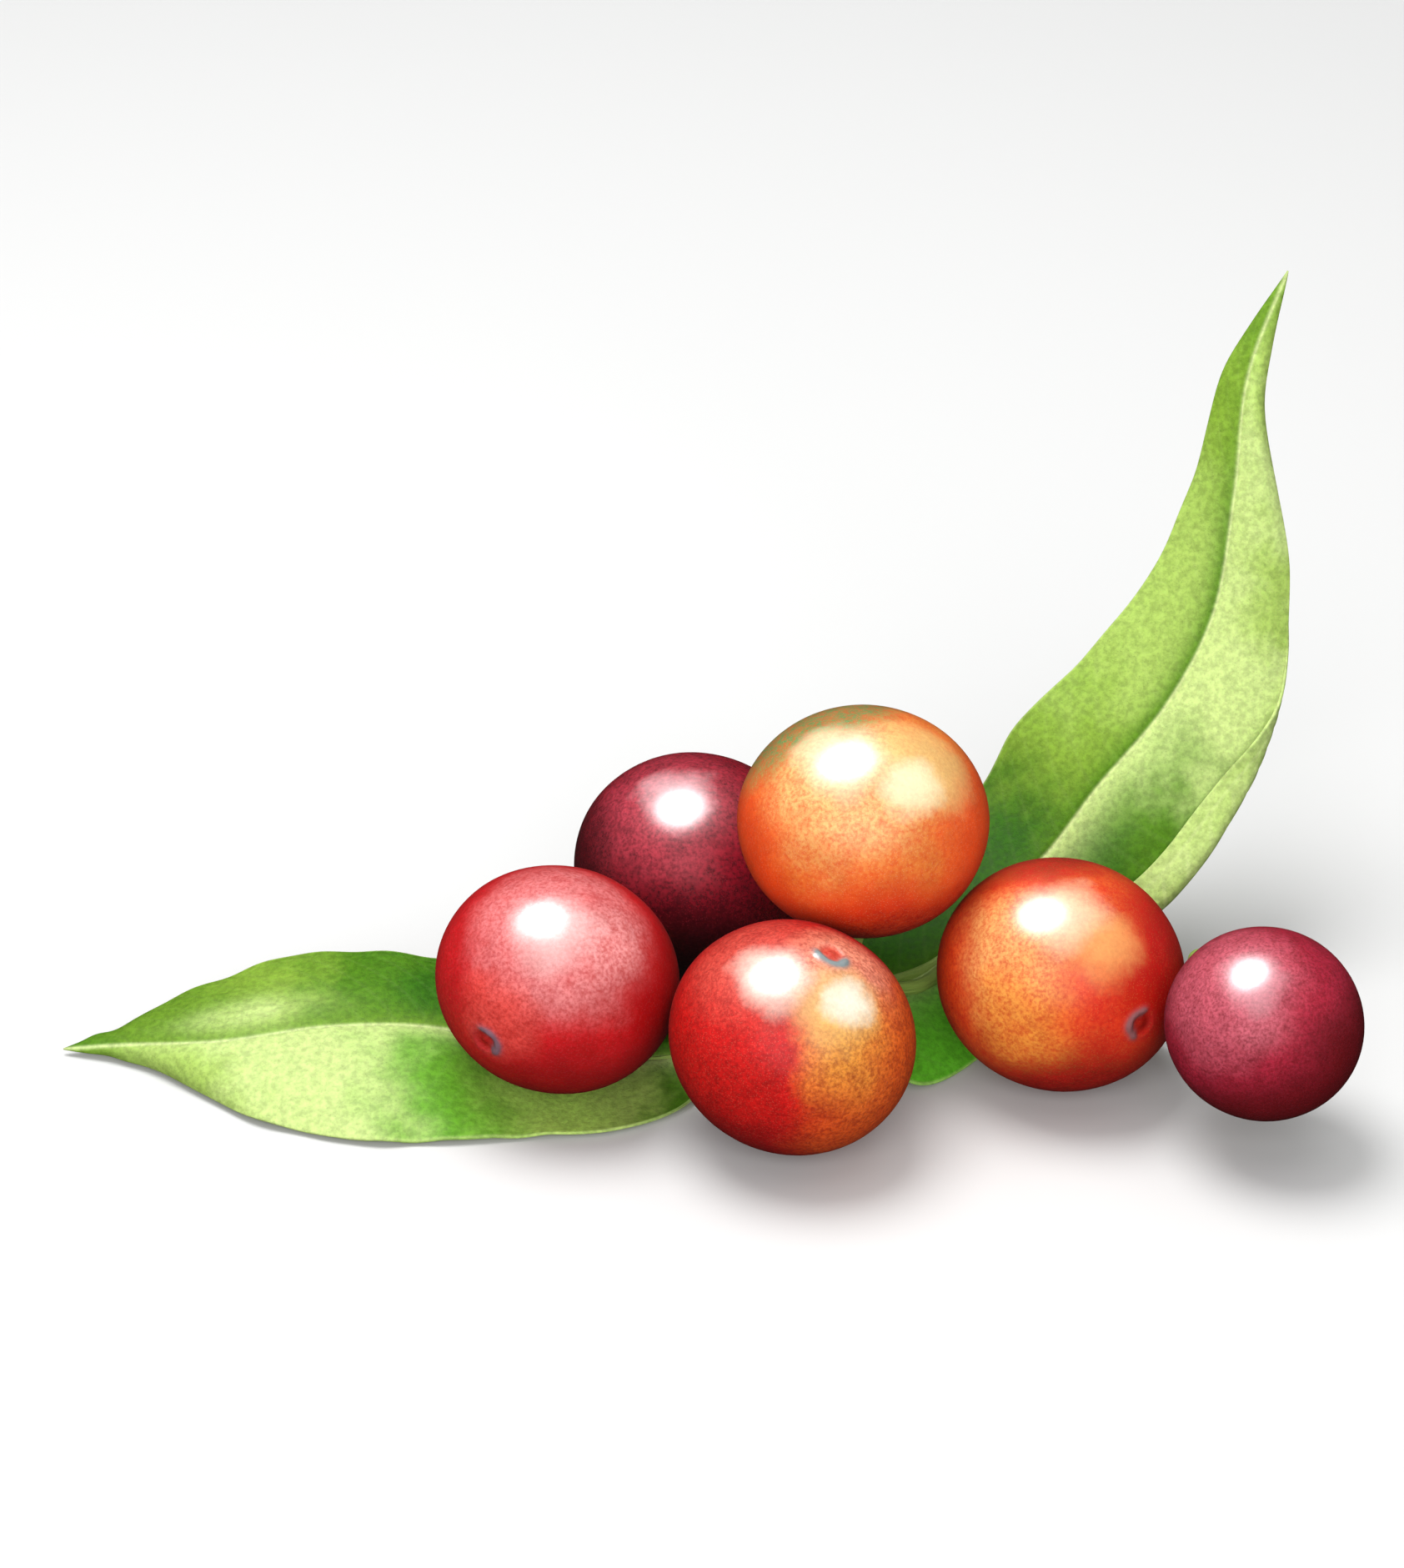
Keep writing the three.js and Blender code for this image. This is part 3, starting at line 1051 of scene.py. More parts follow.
@dataclass(frozen=True)
class Fruit:
    """A round fruit, flattened a little, with a scar at its tip and a dimple at its stalk.

    Attributes:
        name: The solid's name, which the names of its pieces come from.
        slot: A material slot's name, which is not used.
        centre: Where its middle is.
        radius: Its longest radius.
        flatness: How long its short axis is, as a share of the longest.
        lean: How far the short axis leans to the right, in degrees.
        scar: The direction of the scar.
        stalk: The direction of the stalk.
        finish: Its skin.
        gap: The way in which the scar's rim is open: right and up, as seen from the front.
        way: Points on the stalk's way from the twig.
    """

    name: str
    slot: str
    centre: Point
    radius: float
    flatness: float
    lean: float
    scar: Point
    stalk: Point
    finish: SkinFinish
    gap: tuple[float, float] = (0.0, 1.0)
    way: tuple[Point, ...] = ()

    SCAR_RING = 0.125
    SCAR_WIDTH = 0.041
    SCAR_RIM = 0.018
    SCAR_DIP = 0.022
    SCAR_PIP = 0.014
    PIP_WIDTH = 0.032
    DISH_EDGE = (0.55 * SCAR_RING, 1.05 * SCAR_RING)
    LOBES = (0.16, 0.1)
    LOBE_SHIFT = 0.6
    OVAL = 0.05
    WORN = 0.94
    WORN_EDGE = (-0.5, 0.25)
    START_SIDE = (0.3, -0.2, 1.0)
    RIM_MARK = 1.5
    DISH_MARK = 0.7
    DISH_MATT = 0.8
    MOST_MATT = 0.95
    STALK_MARK = 0.8
    STALK_MARK_WIDTH = 0.14
    DIMPLE = 0.03
    DIMPLE_WIDTH = 0.17
    STALK_STEPS = (1.9, 0.3, -0.35)
    STALK_RADIUS = 0.74
    FLARE = 0.45
    FLARE_PART = (0.0, 0.22)
    CUP = 0.62
    CUP_PART = (0.8, 0.95)
    LUMPS = 0.006
    LUMP_SIZE = 1.6
    LUMP_SEED = 0.37
    LUMP_MIDDLE = 0.4
    BACK_LEAN = math.radians(30.0)
    FIRST_RING = 0.012
    LAST_RING = math.pi - 0.015
    FINE_REACH = 0.26
    FINE_RINGS = 22
    RINGS = 84
    SIDES = 120

    def short_axis(self) -> np.ndarray:
        """Finds the direction in which the fruit is flattened.

        Returns:
            The direction, of length 1.
        """
        lean = math.radians(self.lean)
        sine, cosine = math.sin(self.BACK_LEAN), math.cos(self.BACK_LEAN)
        return np.array([math.sin(lean), math.cos(lean) * sine, math.cos(lean) * cosine])

    def skin_radius(self, direction: np.ndarray) -> float:
        """Returns how far the skin is from the middle in a direction."""
        across = float(self.short_axis() @ direction)
        return self.radius / math.sqrt(1.0 + across**2 * (1.0 / self.flatness**2 - 1.0))

    def stalk_end(self) -> tuple[Point, Point, Point]:
        """Ends the stalk squarely on the skin.

        Returns:
            The stalk's last points.
        """
        direction = unit(np.array(self.stalk))
        reach = self.skin_radius(direction)
        centre = np.array(self.centre)
        return tuple(tuple(centre + direction * (reach + away)) for away in self.STALK_STEPS)

    def build(self) -> bpy.types.Object:
        """Builds the fruit's skin, with its origin at the fruit's middle.

        Returns:
            The skin, in the scene.
        """
        fine = np.linspace(self.FIRST_RING, self.FINE_REACH, self.FINE_RINGS, endpoint=False)
        coarse = np.linspace(self.FINE_REACH, self.LAST_RING, self.RINGS - self.FINE_RINGS)
        polar = np.concatenate([fine, coarse])[:, None]
        turn = np.linspace(0.0, 2 * math.pi, self.SIDES, endpoint=False)
        tip = unit(np.array(self.scar))
        side = unit(np.cross(tip, self.START_SIDE))
        spokes = np.cos(turn)[:, None] * side + np.sin(turn)[:, None] * np.cross(tip, side)
        outward = np.cos(polar)[..., None] * tip + np.sin(polar)[..., None] * spokes[None]
        rim = self._rim(polar, turn, self._worn(tip, spokes))
        dish = 1.0 - smoothstep(polar, *self.DISH_EDGE)
        pip = self.SCAR_PIP * bell(polar, self.PIP_WIDTH)
        relief = self.SCAR_RIM * rim - self.SCAR_DIP * dish + pip
        points = outward * (self.radius * (1.0 + relief + self._lumps(outward)))[..., None]
        axis = self.short_axis()
        points = points + (points @ axis)[..., None] * axis * (self.flatness - 1.0)
        angle = np.arccos(np.clip(unit(points) @ unit(np.array(self.stalk)), -1.0, 1.0))
        points = points * (1.0 - self.DIMPLE * bell(angle, self.DIMPLE_WIDTH))[..., None]
        marks = {
            "scar_rim": np.clip(rim * self.RIM_MARK, 0.0, 1.0),
            "scar_dish": np.repeat(dish * self.DISH_MARK, self.SIDES, axis=1),
            "scar_matt": np.clip(rim + self.DISH_MATT * dish, 0.0, self.MOST_MATT),
            "stalk_end": self.STALK_MARK * bell(angle, self.STALK_MARK_WIDTH),
        }
        made = skin_over(f"{self.name}_skin", points, marks)
        made.location = (np.array(self.centre) + SPRIG_PLACE) * MM
        bpy.context.view_layer.update()
        return made

    def _worn(self, tip: np.ndarray, spokes: np.ndarray) -> np.ndarray:
        """Finds where the scar's rim is worn away.

        Args:
            tip: The direction of the scar.
            spokes: The directions from its middle to its places.

        Returns:
            How far the rim is worn at each place, from 0 to 1.
        """
        opening = facing(*self.gap)
        opening = unit(opening - tip * (opening @ tip))
        return smoothstep(spokes @ opening, *self.WORN_EDGE)

    def _rim(self, polar: np.ndarray, turn: np.ndarray, worn: np.ndarray) -> np.ndarray:
        """Shapes the scar's uneven rim.

        Args:
            polar: The angle from the scar's middle, for each ring.
            turn: The angle round it, for each place.
            worn: How far the rim is worn away, for each place.

        Returns:
            The rim's height by ring and place, about 1 at its crest.
        """
        four, seven = self.LOBES
        lobes = 1.0 + four * np.cos(4 * turn + self.LOBE_SHIFT) + seven * np.cos(7 * turn)
        ring = self.SCAR_RING * (1.0 + self.OVAL * np.cos(3 * turn + 1.0))
        rim = bell(polar - ring[None], self.SCAR_WIDTH)
        return rim * ((1.0 - self.WORN * worn) * lobes)[None]

    def _lumps(self, outward: np.ndarray) -> np.ndarray:
        """Makes the skin a little uneven.

        Args:
            outward: The directions, by ring and by place.

        Returns:
            How far the skin swells or sinks there, as a share of the radius.
        """
        seed = Vector(self.centre) * self.LUMP_SEED
        flat = outward.reshape(-1, 3)
        values = [noise.noise(Vector(place) * self.LUMP_SIZE + seed) for place in flat.tolist()]
        values = np.array(values).reshape(outward.shape[:2])
        return self.LUMPS * (values - self.LUMP_MIDDLE)

    def stalk_piece(self) -> Stem:
        """Lays out the stalk, which widens where it leaves the twig and under the fruit.

        Returns:
            The stalk, not built yet.
        """
        path = Guide(self.way + self.stalk_end())
        name = self.name.replace("fruit", "stalk")
        return Stem(name, path, self._stalk_radius, steps=44, rough=0.07)

    def _stalk_radius(self, along: np.ndarray) -> np.ndarray:
        """Returns the stalk's radius at shares of its length."""
        flare = self.FLARE * (1.0 - smoothstep(along, *self.FLARE_PART))
        return self.STALK_RADIUS + flare + self.CUP * smoothstep(along, *self.CUP_PART)


# Leaves


@dataclass(frozen=True)
class Roll:
    """A margin that is rolled over onto the upper face for a part of the leaf's length.

    Attributes:
        starts: Where the roll starts and where it is full, as shares of the length.
        fades: Where it starts to open again and where it is flat.
        radius: The radius of the roll.
        turn: How far the margin turns, in degrees.
        flap: The length of the flat strip beyond the roll.
    """

    starts: tuple[float, float]
    fades: tuple[float, float]
    radius: float
    turn: float
    flap: float

    TIGHTEST = 0.3
    SWIFTNESS = 0.35

    def sizes(self, along: np.ndarray) -> tuple[np.ndarray, np.ndarray, np.ndarray]:
        """Sizes the roll along the leaf.

        Args:
            along: The share of the length of each row.

        Returns:
            Its radius, its turn in radians and the length of its flap, each in a column.
        """
        full = smoothstep(along, *self.starts) * (1.0 - smoothstep(along, *self.fades))
        full = full[:, None]
        radius = self.radius * (self.TIGHTEST + (1.0 - self.TIGHTEST) * full)
        return radius, math.radians(self.turn) * full**self.SWIFTNESS, self.flap * full


@dataclass(frozen=True)
class Leaf:
    """A slender leaf, drawn by its midrib and its two margins from base to tip.

    Attributes:
        name: The solid's name, which the names of its pieces come from.
        slot: A material slot's name, which is not used.
        petiole: Points from the twig to the blade.
        midrib: The midrib's points.
        left: The left margin's points.
        right: The right margin's points.
        pressed: How far each half is arched near the base.
        free: How far each half is arched towards the tip.
        change: Where it goes from the one to the other, as shares of the length.
        finish: Its colours.
        roll: How the right margin is rolled, if it is.
        strips: How wide the strip of painted light or shade beside the midrib is, left and right.
        gleam: Where the painted highlight on the upper face lies, as shares of the length and the
            half's width.
        ripple: How far the margins wave up and down.
    """

    name: str
    slot: str
    petiole: Guide
    midrib: Guide
    left: Guide
    right: Guide
    pressed: tuple[float, float]
    free: tuple[float, float]
    change: tuple[float, float]
    finish: LeafFinish
    roll: Roll | None = None
    strips: tuple[float, float] = (1.5, 1.5)
    gleam: tuple[float, float] = (0.72, 0.27)
    ripple: float = 0.16

    THICKNESS = 0.36
    THIN_BASE = (-0.02, 0.05)
    THIN_TIP = 0.6
    THINNEST = 0.4
    GROOVE = 0.26
    GROOVE_FADE = 0.6
    GROOVE_WIDTH = 0.34
    GROOVE_ROOM = 4.0
    RIDGE = 0.62
    RIDGE_FADE = 0.42
    RIDGE_BEND = 0.7
    RIDGE_WIDTH = 0.5
    RIDGE_ROOM = 3.0
    RIB_WIDTH = 0.2
    NARROW = 5.0
    GLEAM_SIZE = (0.07, 0.2)
    STRIP_END = (0.7, 0.95)
    STRIP_BEND = 1.4
    STRIDE = 0.002
    START = 0.003
    RUN = 0.994
    EASE = 0.35
    LONG_WAVE = 47.0
    LONG_SHIFT = 1.3
    SHORT_WAVE = 83.0
    SHORT_SHARE = 0.6
    WAVING = (0.25, 0.5)
    TIP = (0.9, 1.0)
    PETIOLE_RADIUS = 0.76
    PETIOLE_BASE = 0.35
    BASE_PART = (0.0, 0.15)
    THINNING = 0.5
    THIN_PART = (0.5, 1.0)
    SUNK_PLACES = (0.0, 0.03, 0.08, 0.14, 0.2)
    SUNK_DEPTHS = (0.0, 0.15, 0.2, 0.2, 0.15)
    RIB_COLUMNS = (0.0, 0.12, 0.24, 0.38, 0.55, 0.75, 1.0, 1.35)
    HEM = (0.3, 0.17, 0.1, 0.05, 0.018, 0.0)
    ROWS = 170
    SPREAD = 26

    def _distances(self, reach: np.ndarray) -> np.ndarray:
        """Spaces the columns of one half, close together at the midrib and the margin.

        Args:
            reach: The distance from midrib to margin in each row.

        Returns:
            The distance of each column from the midrib, by row.
        """
        squeeze = np.minimum(1.0, reach / self.NARROW)[:, None]
        near = np.array(self.RIB_COLUMNS)[None] * squeeze
        hem = reach[:, None] - np.array(self.HEM)[None] * squeeze
        shares = np.linspace(0.0, 1.0, self.SPREAD + 2)[1:-1][None]
        between = near[:, -1:] + (hem[:, :1] - near[:, -1:]) * shares
        return np.concatenate([near, between, hem], axis=1)

    def _half(self, along: np.ndarray, right: bool) -> tuple[np.ndarray, np.ndarray, np.ndarray]:
        """Lays out the middle surface of one half.

        Args:
            along: The share of the length of each row.
            right: Whether it is the right half.

        Returns:
            The points by row and column, each column's distance from the midrib, and the
            distance from midrib to margin by row.
        """
        rib = self.midrib.at(along)
        edge = (self.right if right else self.left).at(along)
        ahead = self.midrib.at(along + self.STRIDE) - self.midrib.at(along - self.STRIDE)
        ahead = unit(ahead)
        side = edge - rib
        width = np.linalg.norm(side, axis=1, keepdims=True)
        lift = unit(np.cross(side, ahead)) * (1.0 if right else -1.0)
        half = 1 if right else 0
        opened = smoothstep(along, *self.change)[:, None]
        arch = self.pressed[half] + (self.free[half] - self.pressed[half]) * opened
        arch = arch * np.minimum(1.0, width / self.NARROW)
        outward = unit(side - 4.0 * arch * lift)
        radius, turn, flap = np.ones_like(width), np.zeros_like(width), np.zeros_like(width)
        if right and self.roll:
            radius, turn, flap = self.roll.sizes(along)
            side = side - outward * radius * np.sin(np.minimum(turn, math.pi / 2))
            width = np.linalg.norm(side, axis=1, keepdims=True)
        upward = unit(np.cross(outward, ahead)) * (1.0 if right else -1.0)
        reach = width + radius * turn + flap
        distance = self._distances(reach[:, 0])
        share = np.clip(distance / width, 0.0, 1.0)[..., None]
        points = rib[:, None] + side[:, None] * share
        points = points + (lift * arch)[:, None] * 4.0 * share * (1.0 - share)
        beyond = np.maximum(distance - width, 0.0)
        rolled = np.minimum(beyond / radius, turn)[..., None]
        straight = np.maximum(beyond - radius * turn, 0.0)[..., None]
        sine, cosine = np.sin(rolled), np.cos(rolled)
        curl = radius[..., None]
        points = points + outward[:, None] * (curl * sine + straight * cosine)
        points = points + upward[:, None] * (curl * (1.0 - cosine) + straight * sine)
        return points, distance, reach[:, 0]

    def build(self) -> bpy.types.Object:
        """Builds the blade, a closed thin body with a groove above its midrib.

        Returns:
            The blade, in the scene.
        """
        even = np.linspace(0.0, 1.0, self.ROWS)
        eased = even + self.EASE * even * (1 - even) * (2 * even - 1)
        along = self.START + self.RUN * eased
        left, left_far, left_reach = self._half(along, False)
        right, right_far, right_reach = self._half(along, True)
        surface = np.concatenate([left[:, :0:-1], right], axis=1)
        distance = np.concatenate([-left_far[:, :0:-1], right_far], axis=1)
        reach = np.where(distance < 0, left_reach[:, None], right_reach[:, None])
        across = distance / reach
        surface = self._waved(along, across, surface)
        above, below = self._depths(along, distance, reach, left_reach)
        upward = self._upward(surface)
        top = surface + upward * above[..., None]
        bottom = surface - upward * below[..., None]
        rings = np.concatenate([top, bottom[:, -2:0:-1]], axis=1) + SPRIG_PLACE
        under = np.zeros(rings.shape[:2])
        under[:, top.shape[1] :] = 1.0
        # the strips of painted light or shade beside the midrib, and the painted highlight
        strip = np.where(distance < 0, *self.strips)
        beside = np.exp(-((np.abs(distance) / strip) ** self.STRIP_BEND))
        tapered = 1.0 - smoothstep(along, *self.STRIP_END)[:, None]
        places = (along[:, None], across)
        off = [(at - mid) / size for at, mid, size in zip(places, self.gleam, self.GLEAM_SIZE)]
        marks = {
            "gleam": self._both(np.exp(-(off[0] ** 2 + off[1] ** 2))),
            "along": np.repeat(along[:, None], rings.shape[1], axis=1),
            "across": self._both(across),
            "under": under,
            "rib": self._both(bell(distance, self.RIB_WIDTH)),
            "rib_strip_light_and_shade": self._both(beside * tapered),
        }
        return skin_over(f"{self.name}_blade", rings, marks)

    def _waved(self, along: np.ndarray, across: np.ndarray, surface: np.ndarray) -> np.ndarray:
        """Makes the margins wave up and down.

        Args:
            along: The share of the length of each row.
            across: The share of the half's width of each point.
            surface: The middle surface.

        Returns:
            The waved middle surface.
        """
        wave = np.sin(along * self.LONG_WAVE + self.LONG_SHIFT)
        wave = wave + self.SHORT_SHARE * np.sin(along * self.SHORT_WAVE)
        free = smoothstep(along, *self.WAVING) * (1.0 - smoothstep(along, *self.TIP))
        waving = self.ripple * (wave * free)[:, None] * np.sign(across) * np.abs(across) ** 3
        return surface + self._upward(surface) * waving[..., None]

    def _depths(
        self, along: np.ndarray, distance: np.ndarray, reach: np.ndarray, width: np.ndarray
    ) -> tuple[np.ndarray, np.ndarray]:
        """Makes the blade thick, with a groove above the midrib and a ridge below.

        Args:
            along: The share of the length of each row.
            distance: The distance of each point from the midrib.
            reach: The distance from midrib to margin there.
            width: The left half's width in each row.

        Returns:
            How far the upper and the lower face are from the middle surface.
        """
        full = smoothstep(along, *self.THIN_BASE)
        full = full * (1.0 - self.THIN_TIP * smoothstep(along, *self.TIP))
        share = self.THINNEST + (1.0 - self.THINNEST) * full[:, None]
        rest = np.minimum((reach - np.abs(distance)) / (self.THICKNESS / 2), 1.0)
        half = self.THICKNESS / 2 * np.sqrt(1.0 - (1.0 - rest) ** 2) * share
        ridge = self.RIDGE - self.RIDGE_FADE * along**self.RIDGE_BEND
        ridge = ridge * np.minimum(1.0, width / self.RIDGE_ROOM)
        groove = self.GROOVE * (1.0 - self.GROOVE_FADE * along)
        groove = groove * np.minimum(1.0, width / self.GROOVE_ROOM)
        above = half - groove[:, None] * bell(distance, self.GROOVE_WIDTH)
        return above, half + ridge[:, None] * bell(distance, self.RIDGE_WIDTH)

    @staticmethod
    def _both(values: np.ndarray) -> np.ndarray:
        """Returns values of the upper face followed by the same for the lower face."""
        return np.concatenate([values, values[:, -2:0:-1]], axis=1)

    @staticmethod
    def _upward(surface: np.ndarray) -> np.ndarray:
        """Finds the upper side's direction.

        Args:
            surface: The middle surface, by row and column.

        Returns:
            The direction at each point.
        """
        rightward = np.gradient(surface, axis=1)
        forward = np.gradient(surface, axis=0)
        upward = unit(np.cross(rightward, forward))
        upward[:2], upward[-2:] = upward[2], upward[-3]
        return upward

    def petiole_piece(self) -> Stem:
        """Lays out the petiole, which runs on below the blade until the midrib takes over.

        Returns:
            The petiole, not built yet.
        """
        sunk = self.midrib.at(np.array(self.SUNK_PLACES))
        sunk[:, 2] -= self.SUNK_DEPTHS
        path = Guide(self.petiole.points + tuple(map(tuple, sunk.tolist())))
        name = self.name.replace("leaf", "petiole")
        return Stem(name, path, self._petiole_radius, steps=50)

    def _petiole_radius(self, along: np.ndarray) -> np.ndarray:
        """Returns the petiole's radius at shares of its length."""
        base = self.PETIOLE_BASE * (1.0 - smoothstep(along, *self.BASE_PART))
        return self.PETIOLE_RADIUS + base - self.THINNING * smoothstep(along, *self.THIN_PART)


# The twig


@dataclass(frozen=True)
class Twig:
    """The twig, from its cut end to the last fruit, with its nodes.

    Attributes:
        path: The points that it follows.
        nodes: Where its nodes are, as shares of its length.
        thick: Its radius at the cut.
        thin: Its radius at the last fruit.
    """

    path: tuple[Point, ...]
    nodes: tuple[float, ...] = (0.06, 0.17, 0.42, 0.66)
    thick: float = 1.8
    thin: float = 0.85

    SWELLING = 0.13
    NODE_WIDTH = 0.012
    CUP = 0.5
    CUP_PART = (0.95, 0.99)

    def stem(self, last: Fruit) -> Stem:
        """Lays out the twig, which ends under its last fruit.

        Args:
            last: The last fruit.

        Returns:
            The twig, not built yet.
        """
        path = Guide(self.path + last.stalk_end())
        return Stem("twig_bark", path, self._radius, steps=220, sides=32, rough=0.09, cut=True)

    def _radius(self, along: np.ndarray) -> np.ndarray:
        """Thins the twig towards the last fruit, with a swelling at each node.

        Args:
            along: The shares of the length.

        Returns:
            The radius there.
        """
        size = self.thick + (self.thin - self.thick) * np.sqrt(along)
        for node in self.nodes:
            size = size * (1.0 + self.SWELLING * bell(along - node, self.NODE_WIDTH))
        return size + self.CUP * smoothstep(along, *self.CUP_PART)


# The heap, the twig and the leaves, as the solids have them

BARK_FINISH = BarkFinish("twig_bark", Tint.BARK, Tint.BARK_DARK, Tint.BARK_PALE, Tint.STALK)
STALK_FINISH = BarkFinish(
    "green_stalk", Tint.STALK, Tint.LEAF_GREEN, Tint.STALK_YOUNG, Tint.STALK_YOUNG
)

